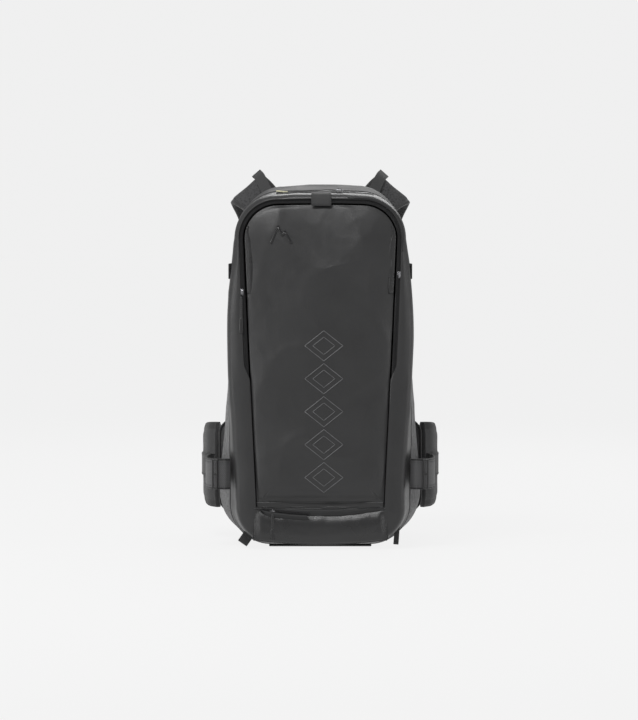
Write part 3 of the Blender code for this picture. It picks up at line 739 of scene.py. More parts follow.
def make_front_panel():
    """The crowned front panel, one cloth with a turned rim. Returns its surface for what is laid on it."""
    rows = []
    ring = outline_ring(grown(WINDOW, -0.0007))
    spine_low, spine_high = WINDOW.low + 0.095, WINDOW.high - 0.10
    steps = [0.0, 0.004, 0.012, 0.025, 0.04, 0.06] + [0.085 + 0.035 * i for i in range(26)] + [1.0]
    rows.append([Vector((x, front_y(z) + 0.0030, z)) for x, z in ring])
    rows.append([Vector((x, front_y(z) + 0.0002, z)) for x, z in ring])
    for t in steps:
        row = []
        for x, z in ring:
            middle = min(max(z, spine_low), spine_high)
            px, pz = lerp(x, 0.0, t), lerp(z, middle, t)
            p = Vector((px, panel_y(px, pz), pz))
            p.y -= smoothstep(0.0, 0.05, t) * panel_wrinkles(p)
            row.append(p)
        rows.append(row)
    made = sheet_mesh("front_panel_cloth", rows, COATED, None, wrap=True, sharp=0)
    mesh = bmesh.new()
    mesh.from_mesh(made.data)
    bmesh.ops.remove_doubles(mesh, verts=mesh.verts, dist=1e-5)  # the last row is folded onto the middle line
    bmesh.ops.recalc_face_normals(mesh, faces=mesh.faces)
    surface = BVHTree.FromBMesh(mesh)
    mesh.to_mesh(made.data)
    mesh.free()
    solid = made.modifiers.new("thickness", "SOLIDIFY")
    solid.thickness = 0.0012
    solid.offset = -1
    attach(made, "front_flap")
    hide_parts("front_panel")
    return surface


def make_fold_strip():
    """The strip of the panel's cloth that runs over the fold into the bag's front."""
    rows = []
    for z in (0.0575, 0.0600, 0.0622, 0.0640, 0.0655, 0.0670, 0.0685, 0.0700, 0.0715, 0.0735):
        xs = [lerp(-0.0985, 0.0985, i / 80) for i in range(81)]
        phase = z / 0.0036 * math.tau
        ripple = [0.0005 * math.sin(phase + 2.0 * noise.noise(Vector((x * 22, 0, 3)))) for x in xs]
        rows.append([Vector((x, front_y(z) - 0.0022 - r, z)) for x, r in zip(xs, ripple)])
    made = sheet_mesh("fold_strip", rows, COATED, None, thick=0.0008)
    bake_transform(made)


def make_zip_slit_shadow():
    """At the upper right the frame's cloth stands off from the zip; the dark tape lens laid into the slit there is
    painted shadow.
    """
    ring = [(x, z) for x, z in seam_ring(0.0108, 0.455) if x > 0.038]
    path = [Vector((x, front_y(z) - 0.0040, z)) for x, z in ring]

    def section(i, s):
        size = 0.0026 * math.sin(math.pi * min(max(s, 0.04), 0.96)) ** 0.5
        return ellipse(size, 0.0012, 8)

    across = [Vector((x, 0, z - 0.46)) for x, z in ring]
    # a dark tape lens where there is only shade: painted shadow in the slit
    made = swept("zip_slit_painted_shadow", path, across, section, ZIP_TAPE, "bag", 0)


# ---- zips ---------------------------------------------------------------------------------------
def seam_ring(offset, z_end):
    """Points (x, z) beside the opening's edge, from the left side at z_end over the top to the right side."""
    ring = [p for p in outline_ring(grown(WINDOW, offset)) if p[1] > z_end]
    right = [p for p in ring if p[0] >= 0]
    return [(-x, z) for x, z in right] + [p for p in reversed(right) if p[0] > 0]


def make_coil(name, path, normals, body, pitch=0.0021, width=0.0034, height=0.0011):
    """The interlocked teeth of a zip: a row of small rounded bars across the tape."""
    runs = [0.0]
    for a, b in zip(path, path[1:]):
        runs.append(runs[-1] + (b - a).length)
    mesh = bmesh.new()
    run, i = pitch, 0
    while run < runs[-1] - pitch:
        while runs[i + 1] < run:
            i += 1
        along = (path[i + 1] - path[i]).normalized()
        centre = path[i].lerp(path[i + 1], (run - runs[i]) / (runs[i + 1] - runs[i]))
        up = normals[i]
        side = along.cross(up).normalized()
        a, b = along * pitch * 0.36, up * height
        for sign in (-1, 1):
            root, tip = centre + side * sign * width / 2, centre - side * sign * width * 0.1
            nudge = along * pitch * 0.25 * sign
            corners = (-a, -a * 0.5 + b, a * 0.5 + b, a)
            ring = [mesh.verts.new(p + nudge + q) for p in (root, tip) for q in corners]
            for j in range(3):
                mesh.faces.new((ring[j], ring[j + 1], ring[j + 5], ring[j + 4]))
            mesh.faces.new((ring[0], ring[3], ring[2], ring[1]))
            mesh.faces.new((ring[4], ring[5], ring[6], ring[7]))
            mesh.faces.new((ring[0], ring[4], ring[7], ring[3]))
        run += pitch
    made = finish_mesh(name, mesh, COIL, body, 30)
    return made


SLIDER_BODY = (  # along its length: place, width and height, as shares of the CAD block
    (-0.5, 0.55, 0.25),
    (-0.44, 0.72, 0.5),
    (-0.1, 0.80, 0.62),
    (0.2, 1.0, 0.62),
    (0.42, 1.0, 0.5),
    (0.5, 0.85, 0.25),
)
SLIDER_SECTION = ((-0.5, 0), (-0.5, 0.6), (-0.38, 1.0), (0.38, 1.0), (0.5, 0.6), (0.5, 0))
SLIDER_BRIDGE = ((-0.40, -0.05), (-0.36, 0.22), (-0.15, 0.42), (0.10, 0.42), (0.28, 0.25), (0.32, 0.0))


def make_slider(node, body):
    """A zip slider in its CAD block's place: a waisted body under a raised bridge."""
    low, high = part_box(node)
    centre, size = (low + high) / 2, high - low
    deep = min(size)
    if size.z < size.y:  # it lies on the top of the bag, and runs along X
        along, side, up = Vector((1, 0, 0)), Vector((0, 1, 0)), Vector((0, 0, 1))
        length, width = size.x, size.y
    elif size.z > size.x * 1.2:
        along, side, up = Vector((0, 0, 1)), Vector((1, 0, 0)), Vector((0, -1, 0))
        length, width = size.z, size.x
    else:
        along, side, up = Vector((1, 0, 0)), Vector((0, 0, 1)), Vector((0, -1, 0))
        length, width = size.x, size.z
    mesh = bmesh.new()
    rings = []
    for s, w, h in SLIDER_BODY:
        middle = centre + along * s * length
        ring = [middle + side * a * w * width + up * deep * (b * h - 0.5) for a, b in SLIDER_SECTION]
        rings.append([mesh.verts.new(p) for p in ring])
    for a, b in zip(rings, rings[1:]):
        for k in range(6):
            mesh.faces.new((a[k], a[(k + 1) % 6], b[(k + 1) % 6], b[k]))
    mesh.faces.new(rings[0])
    mesh.faces.new(list(reversed(rings[-1])))
    made = finish_mesh(node + "_body", mesh, METAL, body, 30)
    bevel = made.modifiers.new("worn_edges", "BEVEL")
    bevel.width, bevel.segments = 0.0003, 2
    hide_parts(node)
    arch = smooth_path([centre + along * length * s + up * deep * h for s, h in SLIDER_BRIDGE], 4)
    webbing_strap(node + "_bridge", arch, side, width * 0.36, 0.0009, METAL, body)


def make_cord_pull(node, body):
    """The pull: a doubled cord through the slider, ending in a ribbed moulded grip."""
    low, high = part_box(node)
    top = Vector(((low.x + high.x) / 2, high.y - 0.0016, high.z))
    end = Vector((top.x, low.y + 0.0018, low.z))
    path = [top.lerp(end, s) for s in (0.0, 0.12, 0.25, 0.4, 0.52, 0.60)]
    for k, side in (("a", -1), ("b", 1)):
        strand = [p + Vector((side * 0.0011 * (1 if i else 0.3), 0, 0)) for i, p in enumerate(path)]
        tube(f"{node}_cord_{k}", smooth_path(strand, 3), 0.0010, WEBBING, body, 7)
    grip = [top.lerp(end, lerp(0.56, 1.0, i / 22)) for i in range(23)]

    def section(i, s):
        tip = math.sqrt(max(1 - max(0, (s - 0.85) / 0.155) ** 2, 0.03))
        round_end = tip * math.sqrt(max(1 - max(0, (0.12 - s) / 0.13) ** 2, 0.05))
        rib = 1 + 0.10 * math.sin(s * math.tau * 6) * (1 if 0.2 < s < 0.8 else 0)
        w, t = 0.0033 * round_end, 0.00145 * round_end * rib
        return ellipse(w, t * 1.1, 12)

    made = swept(f"{node}_grip", grip, Vector((1, 0, 0)), section, PLASTIC, body, 0)
    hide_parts(node)


def tape_rows(centre, half, out, steps=3):
    rows = []
    for k in range(steps + 1):
        offset = lerp(-half, half, k / steps)
        row = []
        for i, (x, z) in enumerate(centre):
            ax, az = centre[max(i - 1, 0)]
            bx, bz = centre[min(i + 1, len(centre) - 1)]
            n = Vector((-(bz - az), bx - ax)).normalized()
            px, pz = x + n[0] * offset, z + n[1] * offset
            row.append(Vector((px, front_y(pz) - out, pz)))
        rows.append(row)
    return rows


def make_main_zip():
    """Tape and coil round the front panel, with two sliders and the left one's pull."""
    centre = seam_ring(0.0060, WINDOW.low + 0.006)
    made = sheet_mesh("main_zip_cloth", tape_rows(centre, 0.0042, 0.0010), ZIP_TAPE, "bag", thick=0.0005)
    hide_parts("main_zip_tape")
    exposed = seam_ring(0.0048, ZIP_SHOWS_FROM - 0.004)
    path = [Vector((x, front_y(z) - 0.0012, z)) for x, z in exposed]
    make_coil("main_zip_coil", path, [Vector((0, -1, 0))] * len(path), "bag")
    make_slider("main_zip_slider", "main_slider_left")
    make_slider("main_zip_slider_right", "main_slider_right")
    make_cord_pull("main_zip_pull", "main_pull")


def make_welts():
    """The curved facings inside the zip at the upper corners, each a folded strip of cloth."""
    for name, side in SIDES:
        low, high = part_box(f"zip_welt_{name}")
        z_low, z_high = low.z - 0.012, high.z + 0.022
        outer, inner = [], []
        for i in range(40):
            z = lerp(z_low, z_high, i / 39)
            t = i / 39
            taper = smoothstep(0.0, 0.10, t)
            x_out = half_width(WINDOW, z) - 0.0006
            if z > WINDOW.high - WINDOW.r_high:
                flat = WINDOW.half_high - WINDOW.r_high
                x_out = flat + math.sqrt(WINDOW.r_high**2 - (z - WINDOW.high + WINDOW.r_high) ** 2) - 0.0006
            width = lerp(0.0085, 0.0105, 1 - abs(2 * t - 1)) * lerp(0.86, 1.0, taper)
            width *= lerp(1.0, 0.25, smoothstep(0.75, 1.0, t))
            outer.append((side * x_out, z))
            inner.append((side * (x_out - width), z))
        rows = []
        for k in range(6):
            t = k / 5
            row = []
            for (xo, z), (xi, _) in zip(outer, inner):
                x = lerp(xo, xi, t)
                lift = 0.0016 * (1 - smoothstep(0.86, 1.0, t) * 0.9)
                row.append(Vector((x, panel_y(x, z) - lift - 0.0004, z)))
            rows.append(row)
        made = sheet_mesh(f"welt_cloth_{name}", rows, COATED_GLOSS, "front_flap", thick=0.0014)
        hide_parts(f"zip_welt_{name}")
        seam = [Vector((x, panel_y(x, z) - 0.0004, z)) for x, z in inner]
        tube(f"welt_shadow_{name}", seam, 0.0008, PIPING, "front_flap", 6)


# ---- lower pocket -------------------------------------------------------------------------------
def pocket_top(x):
    """The pocket's upper edge sags between its corners."""
    return 0.0665 - 0.0105 * (1 - min(abs(x) / 0.100, 1.0) ** 2.2)


def pocket_bottom(x):
    return 0.0158 - 0.0062 * (1 - min(abs(x) / 0.100, 1.0) ** 2.0)


def pocket_surface(x, s, out=0.0):
    """A point on the pocket's crowned front: s is 0 at its lower seam and 1 at its upper edge."""
    z = lerp(pocket_bottom(x), pocket_top(x), s)
    side = smoothstep(0.0, 0.014, 0.104 - abs(x))
    crown = 0.0068 * (1 - (2 * abs(s - 0.45)) ** 3.0) * side
    ripple = 0.0010 * noise.noise(Vector((x * 32, s * 1.4, 2.0)))
    ripple += 0.0006 * noise.noise(Vector((x * 75, s * 3, 8.0)))
    return Vector((x, front_y(z) - 0.0034 - max(crown, 0.0) - ripple * side - out, z))


def on_pocket_top(x, out, up, highest):
    """A point along the pocket's upper edge. It stays low enough to clear the folding panel."""
    return Vector((x, front_y(pocket_top(x)) - out, min(pocket_top(x) + up, highest)))


def make_lower_pocket():
    """The glossier pocket under the panel: crowned cloth, a zip under a facing, and piping below."""
    columns = [lerp(-0.1035, 0.1035, i / 90) for i in range(91)]
    rows = [[pocket_surface(x, s) for x in columns] for s in [k / 22 for k in range(23)]]
    first = [Vector((p.x, front_y(p.z) - 0.0012, p.z - 0.0006)) for p in rows[0]]
    last = [Vector((p.x, front_y(p.z) - 0.0012, p.z + 0.0006)) for p in rows[-1]]
    made = sheet_mesh("lower_pocket_cloth", [first, *rows, last], COATED_GLOSS, "bag", thick=0.0012)
    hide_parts("lower_pocket")
    zip_xs = [lerp(-0.097, 0.1015, i / 60) for i in range(61)]
    rows = []
    for drop in (0.0045, 0.0020, -0.0030, -0.0055):
        rows.append([on_pocket_top(x, 0.0052, -drop, 0.0618 - 0.2 * drop) for x in zip_xs])
    made = sheet_mesh("pocket_zip_cloth", rows, ZIP_TAPE, "bag", thick=0.0008)
    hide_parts("pocket_zip_tape")
    path = [on_pocket_top(x, 0.0053, -0.0004, 0.0612) for x in zip_xs[:26]]
    make_coil("pocket_zip_coil", path, [Vector((0, -1, 0))] * len(path), "bag", width=0.0042)
    facing = [lerp(-0.0935, -0.0205, i / 30) for i in range(31)]
    rows = []
    for k in range(6):
        s = k / 5
        row = []
        for x in facing:
            z = pocket_top(x) - 0.0020 - s * 0.0125 * smoothstep(-0.0945, -0.080, x)
            slant = x + (0.006 * s if x > -0.03 else 0)
            row.append(Vector((slant, front_y(z) - 0.0074 - 0.0032 * math.sin(math.pi * min(s + 0.2, 1)), z)))
        rows.append(row)
    sheet_mesh("pocket_zip_facing", rows, ZIP_TAPE, "bag", thick=0.0009)
    piping = [Vector((x, front_y(pocket_bottom(x)) - 0.0030, pocket_bottom(x) - 0.0004)) for x in columns]
    tube("pocket_piping", piping, 0.0013, PIPING, "bag")
    top = [on_pocket_top(x, 0.0044, 0.0018, 0.0632) for x in columns]
    tube("pocket_zip_piping", top, 0.0010, PIPING, "bag")
    for name, side in SIDES:
        seam = []
        for i in range(24):
            z = lerp(0.016, 0.069, i / 23)
            seam.append(Vector((side * lerp(0.1042, 0.1005, i / 23), front_y(z) - 0.0026, z)))
        tube(f"pocket_side_seam_{name}", seam, 0.0011, PIPING, "bag")
    make_slider("pocket_zip_slider", "pocket_slider")
    make_cord_pull("pocket_zip_pull", "pocket_pull")


# ---- marks --------------------------------------------------------------------------------------
def surface_line(surface, points, width, out, closed=False):
    """A thin printed line on the front panel, through (x, z) points."""
    dense = []
    loop = [*points, points[0]] if closed else points
    for (ax, az), (bx, bz) in zip(loop, loop[1:]):
        count = max(int(math.hypot(bx - ax, bz - az) / 0.002), 1)
        dense += [(lerp(ax, bx, i / count), lerp(az, bz, i / count)) for i in range(count)]
    dense.append(loop[-1])
    rows = [[], []]
    for i, (x, z) in enumerate(dense):
        ax, az = dense[max(i - 1, 0)]
        bx, bz = dense[min(i + 1, len(dense) - 1)]
        n = Vector((-(bz - az), bx - ax)).normalized() * width / 2
        for row, sign in zip(rows, (-1, 1)):
            px, pz = x + n[0] * sign, z + n[1] * sign
            row.append((px, pz))
    return [[on_panel(surface, x, z, out) for x, z in row] for row in rows]


def on_panel(surface, x, z, out):
    """A point just in front of the creased front panel."""
    hit = surface.ray_cast(Vector((x, -1, z)), Vector((0, 1, 0)))[0]
    return hit - Vector((0, out, 0))


def make_marks(surface):
    """Two plain decorations of this model's own: a small peak and a column of outlined diamonds."""
    peak = [(-0.077, 0.474), (-0.0655, 0.500), (-0.0585, 0.486), (-0.0545, 0.492), (-0.0445, 0.474)]
    rows = surface_line(surface, peak, 0.0036, 0.0011)
    sheet_mesh("raised_peak", rows, PRINT, "front_flap", thick=0.0006)
    x_left, x_right, z_top, z_low, count = -0.024, 0.035, 0.341, 0.087, 5
    middle, tall = (x_left + x_right) / 2, (z_top - z_low) / count
    for i in range(count):
        centre = z_low + tall * (i + 0.5)
        half_x, half_z = (x_right - x_left) / 2, tall * 0.46
        for word, share, width in (("outline", 1.0, 0.0013), ("inner", 0.58, 0.0011)):
            a, b = half_x * share, half_z * share
            points = [(middle - a, centre), (middle, centre + b), (middle + a, centre), (middle, centre - b)]
            rows = surface_line(surface, points, width, 0.0005, closed=True)
            made = sheet_mesh(f"{word}_diamond_{i}", rows, OUTLINE_PRINT, "front_flap", thick=0.0003)


# ---- top ----------------------------------------------------------------------------------------
def top_z(x, depth):
    o = wall_outline(depth)
    flat = o.half_high - o.r_high
    if abs(x) <= flat:
        return o.high + o.crown * (1 - (x / flat) ** 2)
    return o.high - o.r_high + math.sqrt(max(o.r_high**2 - (abs(x) - flat) ** 2, 0.0))


def make_top():
    """The goggle pocket's zip, the stitched webbing patch, the sewn tag and the haul loop."""
    low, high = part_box("goggle_zip_tape")
    y = (low.y + high.y) / 2
    depth = 0.80
    xs = [lerp(low.x + 0.001, high.x - 0.001, i / 40) for i in range(41)]
    rows = [[Vector((x, y + w, top_z(x, depth) + 0.0022 + lift)) for x in xs] for w, lift in ((-0.0055, -0.0016), (-0.003, 0), (0.003, 0), (0.0055, -0.0012))]
    made = sheet_mesh("goggle_zip_cloth", rows, ZIP_TAPE, "bag", thick=0.0007)
    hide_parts("goggle_zip_tape")
    path = [Vector((x, y, top_z(x, depth) + 0.0024)) for x in xs]
    make_coil("goggle_zip_coil", path, [Vector((0, 0, 1))] * len(path), "bag")
    make_slider("goggle_zip_slider", "goggle_slider")

    low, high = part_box("top_patch")
    x0, x1 = low.x, high.x
    z0, z1 = 0.5315, 0.5475
    profile = [(front_y(z0) - 0.0072, z0 + 0.0005), (front_y(z0) - 0.0078, z0 + 0.004), (front_y(z1) - 0.0066, z1 - 0.0035)]
    profile += [(front_y(z1) - 0.0030, z1 + 0.0010), (front_y(z1) + 0.0035, z1 + 0.0036), (front_y(z1) + 0.010, z1 + 0.0052)]
    middle = smooth_path([Vector(((x0 + x1) / 2, py, pz)) for py, pz in profile], 4)
    made = webbing_strap("top_patch_webbing", middle, Vector((1, 0, 0)), x1 - x0, 0.0014, WEBBING, "bag")
    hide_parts("top_patch")
    normals = [up for _, _, up in frames_of(middle, Vector((1, 0, 0)))]
    for k, sign in SIDES:
        line = [p + Vector((sign * ((x1 - x0) / 2 - 0.0022), 0, 0)) - n * 0.0009 for p, n in zip(middle, normals)]
        stitches(f"top_patch_stitch_{k}", line, [-n for n in normals], THREAD, "bag")

    low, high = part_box("sewn_tag")
    rows = []
    for k in range(5):
        t = k / 4
        rows.append([Vector((x, lerp(low.y, high.y, t), low.z + 0.0008 + 0.0018 * math.sin(math.pi * t) + 0.0006 * math.sin(x * 260))) for x in [lerp(low.x, high.x, i / 12) for i in range(13)]])
    made = sheet_mesh("woven_tag", rows, LABEL, "bag", thick=0.0006)
    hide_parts("sewn_tag")

    points = [(-0.040, 0.0895, 0.534), (-0.038, 0.0960, 0.5425), (-0.026, 0.1120, 0.5500), (0.0, 0.1180, 0.5525)]
    path = [place(*p) for p in points] + [place(-x, y, z) for x, y, z in reversed(points[:-1])]
    path = smooth_path(path, 10)

    def section(i, s):
        grip = smoothstep(0.18, 0.3, s) * (1 - smoothstep(0.7, 0.82, s))
        w, t = lerp(0.0050, 0.0062, grip), lerp(0.0011, 0.0030, grip)
        return [(w * math.cos(math.tau * k / 14), t * math.sin(math.tau * k / 14)) for k in range(14)]

    made = swept("haul_loop_webbing", path, Vector((0, 0.35, 0.94)), section, WEBBING, "bag", 0)
    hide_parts("haul_loop")


# ---- harness ------------------------------------------------------------------------------------
def bound_pad(name, node, path, across, widths, thick, faces, body, quilt=0.0):
    """A foam strap: domed cloth faces, pulled in at a stitched line, with a bound edge all round."""
    count = 26

    def section(i, s):
        w = widths[i] / 2
        ring = []
        for side in (1, -1):
            for k in range(count):
                t = lerp(-1, 1, (k + 0.5) / count) * side
                edge = abs(t)
                rise = thick / 2 * (1 - edge**6) ** 0.5
                rise -= thick * 0.13 * math.exp(-(((edge - 0.84) / 0.035) ** 2))
                rise += quilt * math.cos(t * math.pi * 2.2) * (1 - edge)
                rise += 0.0005 * noise.noise(path[i] * 45 + Vector((t, side, 0)))
                ring.append((t * w, side * rise))
        return ring

    made = swept(name, path, across, section, faces, body, 0)
    made.data.materials.append(BINDING)
    for polygon in made.data.polygons:
        j = (polygon.index % (2 * count)) % count
        if polygon.index < (len(path) - 1) * 2 * count and (j < 2 or j >= count - 3):
            polygon.material_index = 1
    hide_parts(node)
    return made


STRAP_POINTS = [  # as the part's own: centre, direction of the width, width
    ((0.080, 0.0925, 0.466), (-1, 0, 0), 0.066),
    ((0.082, 0.0945, 0.505), (-1, 0, 0.12), 0.066),
    ((0.094, 0.1120, 0.539), (-0.90, 0, 0.42), 0.066),
    ((0.116, 0.1460, 0.556), (-0.76, 0, 0.65), 0.069),
    ((0.102, 0.1880, 0.519), (-0.85, 0, 0.45), 0.066),
    ((0.092, 0.2080, 0.466), (-1, 0, 0.12), 0.064),
    ((0.092, 0.2120, 0.440), (-1, 0, 0), 0.062),
    ((0.092, 0.2120, 0.350), (-1, 0, 0), 0.058),
    ((0.097, 0.2010, 0.300), (-1, 0, 0), 0.054),
    ((0.105, 0.1820, 0.255), (-1, 0, 0), 0.044),
]
STRAP_THICK = 0.0122


def make_shoulder_straps():
    """Foam straps with bound edges, a daisy-chain webbing down the front, ladder locks, tails and load lifters."""
    steps = 9
    for name, side in SIDES:
        path = smooth_path([place(*p, side) for p, _, _ in STRAP_POINTS], steps)
        across = smooth_path([Vector((a[0] * side, a[1], a[2])) for _, a, _ in STRAP_POINTS], steps)
        widths = [v.x for v in smooth_path([Vector((w, 0, 0)) for _, _, w in STRAP_POINTS], steps)]
        bound_pad(f"shoulder_pad_{name}", f"shoulder_strap_{name}", path, across, widths, STRAP_THICK, MESH, "bag")
        normals = [up for _, _, up in frames_of(path, across)]
        outer = -1 if normals[len(normals) // 2].y < 0 else 1
        first = steps * 3 + 3
        chain = [p + n * outer * (STRAP_THICK / 2 + 0.0009) for p, n in zip(path[first:-4], normals[first:-4])]
        webbing_strap(f"strap_chain_{name}", chain, across[first:-4], 0.020, 0.0013, WEBBING, "bag")
        for edge in (-1, 1):
            word = "inner" if edge > 0 else "outer"
            line = []
            for p, n, a in zip(chain, normals[first:-4], across[first:-4]):
                line.append(p + a.normalized() * edge * 0.0078 + n * outer * 0.0008)
            facing = [n * outer for n in normals[first:-4]]
            stitches(f"strap_stitch_{word}_{name}", line, facing, THREAD, "bag")
        tail = [(0.1085, 0.1710, 0.2185), (0.118, 0.1500, 0.175), (0.130, 0.1220, 0.130), (0.136, 0.1020, 0.100)]
        made = webbing_strap(f"strap_tail_{name}", smooth_path([place(*p, side) for p in tail], 8), Vector((1, 0, 0)), 0.025, 0.0016, WEBBING, "bag")
        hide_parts(f"shoulder_webbing_{name}")
        lifter = [(0.083, 0.0866, 0.5360), (0.0840, 0.1000, 0.5505), (0.0960, 0.1290, 0.5760), (0.1030, 0.1470, 0.5840)]
        turn = [(-1, 0, 0.1), (-1, 0, 0.3), (-0.8, 0, 0.62), (-0.76, 0, 0.65)]
        turn = smooth_path([Vector((a * side, b, c)) for a, b, c in turn], 8)
        made = webbing_strap(f"lifter_webbing_{name}", smooth_path([place(*p, side) for p in lifter], 8), turn, 0.0175, 0.0015, WEBBING, "bag")
        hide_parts(f"load_lifter_{name}")
        make_ladder_lock(name, side)


def frame_bars(name, low, high, bars, bar, thick, axis_y, body):
    """A moulded frame: two uprights and level crossbars with rounded sections, as one joined piece."""
    mesh = bmesh.new()

    def beam(a, b, w, t):
        d = (b - a).normalized()
        side = d.cross(axis_y).normalized()
        rings = []
        for p in (a, b):
            rings.append([mesh.verts.new(p + side * w / 2 * math.cos(math.tau * k / 10 + 0.3) + axis_y * t / 2 * math.sin(math.tau * k / 10 + 0.3)) for k in range(10)])
        for j in range(10):
            mesh.faces.new((rings[0][j], rings[0][(j + 1) % 10], rings[1][(j + 1) % 10], rings[1][j]))
        mesh.faces.new(rings[0])
        mesh.faces.new(list(reversed(rings[1])))

    y = (low.y + high.y) / 2
    for x in (low.x + bar / 2, high.x - bar / 2):
        beam(Vector((x, y, low.z)), Vector((x, y, high.z)), bar, thick)
    for share in bars:
        z = lerp(low.z + bar / 2, high.z - bar / 2, share)
        beam(Vector((low.x + 0.0005, y, z)), Vector((high.x - 0.0005, y, z)), bar * 1.05, thick * 1.05)
    return finish_mesh(name, mesh, PLASTIC, body, 50)


def make_ladder_lock(name, side):
    node = f"ladder_lock_{name}"
    low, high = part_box(node)
    made = frame_bars(f"{node}_frame", low, high, (0.0, 0.5, 1.0), 0.0042, high.y - low.y, Vector((0, 1, 0)), "bag")
    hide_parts(node)
    y = (low.y + high.y) / 2
    loop = [Vector(((low.x + high.x) / 2, y + dy, high.z + dz)) for dy, dz in ((0.0030, 0.020), (0.0036, 0.004), (0.0038, -0.003), (0.0, -0.0065), (-0.0038, -0.003), (-0.0034, 0.006), (-0.0020, 0.018))]
    webbing_strap(f"lock_loop_{name}", smooth_path(loop, 4), Vector((1, 0, 0)), 0.022, 0.0013, WEBBING, "bag")


def swell(made, sewn, pressure=4.0, cap=0.0030):
    """Blows a closed pad up by cloth simulation. The sewn points stay put, and no other moves further than the cap."""
    start = [v.co.copy() for v in made.data.vertices]
    made.vertex_groups.new(name="sewn").add(sewn, 1.0, "REPLACE")
    cloth = made.modifiers.new("swell", "CLOTH")
    cloth.settings.vertex_group_mass = "sewn"
    cloth.settings.use_pressure = True
    cloth.settings.uniform_pressure_force = pressure
    cloth.settings.effector_weights.gravity = 0
    cloth.point_cache.frame_start, cloth.point_cache.frame_end = 1, 20
    for step in range(1, 21):
        bpy.context.scene.frame_set(step)
    blown = made.evaluated_get(bpy.context.evaluated_depsgraph_get()).data
    ends = [v.co.copy() for v in blown.vertices]
    made.modifiers.remove(cloth)
    bpy.context.scene.frame_set(1)
    for v, a, b in zip(made.data.vertices, start, ends):
        move = b - a
        v.co = a + move * min(1.0, cap / max(move.length, 1e-9))
    made.data.update()


def pillow(name, node, body, material, crown, channels=(), edge=0.010):
    """A padded block in its CAD box's place: rounded rim, domed outer face and sewn channels across it at shares of its height."""
    low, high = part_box(node)
    nx, nz = 34, max(int((high.z - low.z) / 0.005), 10)
    outer = []
    for k in range(nz + 1):
        row = []
        for i in range(nx + 1):
            u, v = i / nx, k / nz
            x, z = lerp(low.x, high.x, u), lerp(low.z, high.z, v)
            dx = min(u, 1 - u) * (high.x - low.x)
            dz = min(v, 1 - v) * (high.z - low.z)
            corner = 0.020
            if dx < corner and dz < corner:
                pull = max(0.0, math.hypot(corner - dx, corner - dz) - corner)
                mx, mz = (low.x + high.x) / 2, (low.z + high.z) / 2
                x += (1 if x < mx else -1) * pull * 0.72
                z += (1 if z < mz else -1) * pull * 0.72
            inset = min(dx, dz)
            rise = math.sqrt(max(1 - (1 - min(inset / edge, 1)) ** 2, 0.0))
            y = lerp(low.y + 0.0008, high.y - crown - 0.0015, rise) + crown * math.sin(math.pi * u) * math.sin(math.pi * v)
            for share in channels:
                y -= 0.0045 * rise * math.exp(-(((v - share) * (high.z - low.z) / 0.0035) ** 2))
            y += rise * 0.0006 * noise.noise(Vector((x * 30, z * 30, 4.0)))
            row.append(Vector((x, y, z)))
        outer.append(row)
    made = sheet_mesh(name, outer, material, body, sharp=0)
    mesh = bmesh.new()
    mesh.from_mesh(made.data)
    rim = [e for e in mesh.edges if e.is_boundary]
    bmesh.ops.holes_fill(mesh, edges=rim)
    bmesh.ops.recalc_face_normals(mesh, faces=mesh.faces)
    mesh.to_mesh(made.data)
    mesh.free()
    levels = [round(share * nz) for share in channels]
    sewn = [k * (nx + 1) + i for k in range(nz + 1) for i in range(nx + 1) if i in (0, nx) or k in (0, nz, *levels)]
    swell(made, sewn)
    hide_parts(node)
    loop = []
    for u, v in [(i / nx, 0) for i in range(nx)] + [(1, k / nz) for k in range(nz)] + [(1 - i / nx, 1) for i in range(nx)] + [(0, 1 - k / nz) for k in range(nz + 1)]:
        loop.append(outer[round(v * nz)][round(u * nx)].copy())
    tube(f"{name}_binding", loop, 0.0018, BINDING, body, 8)
    return made


def make_back_pads():
    for name, _ in SIDES:
        pillow(f"back_column_{name}", f"back_pad_{name}", "bag", MESH, 0.004, (0.2, 0.4, 0.6, 0.8))
        pillow(f"hip_fin_pad_{name}", f"hip_fin_{name}", "bag", CLOTH, 0.002)
    pillow("lumbar_cushion", "lumbar_pad", "bag", MESH, 0.006, (0.28, 0.72))
    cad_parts["channel_mesh"].data.materials[0] = MESH


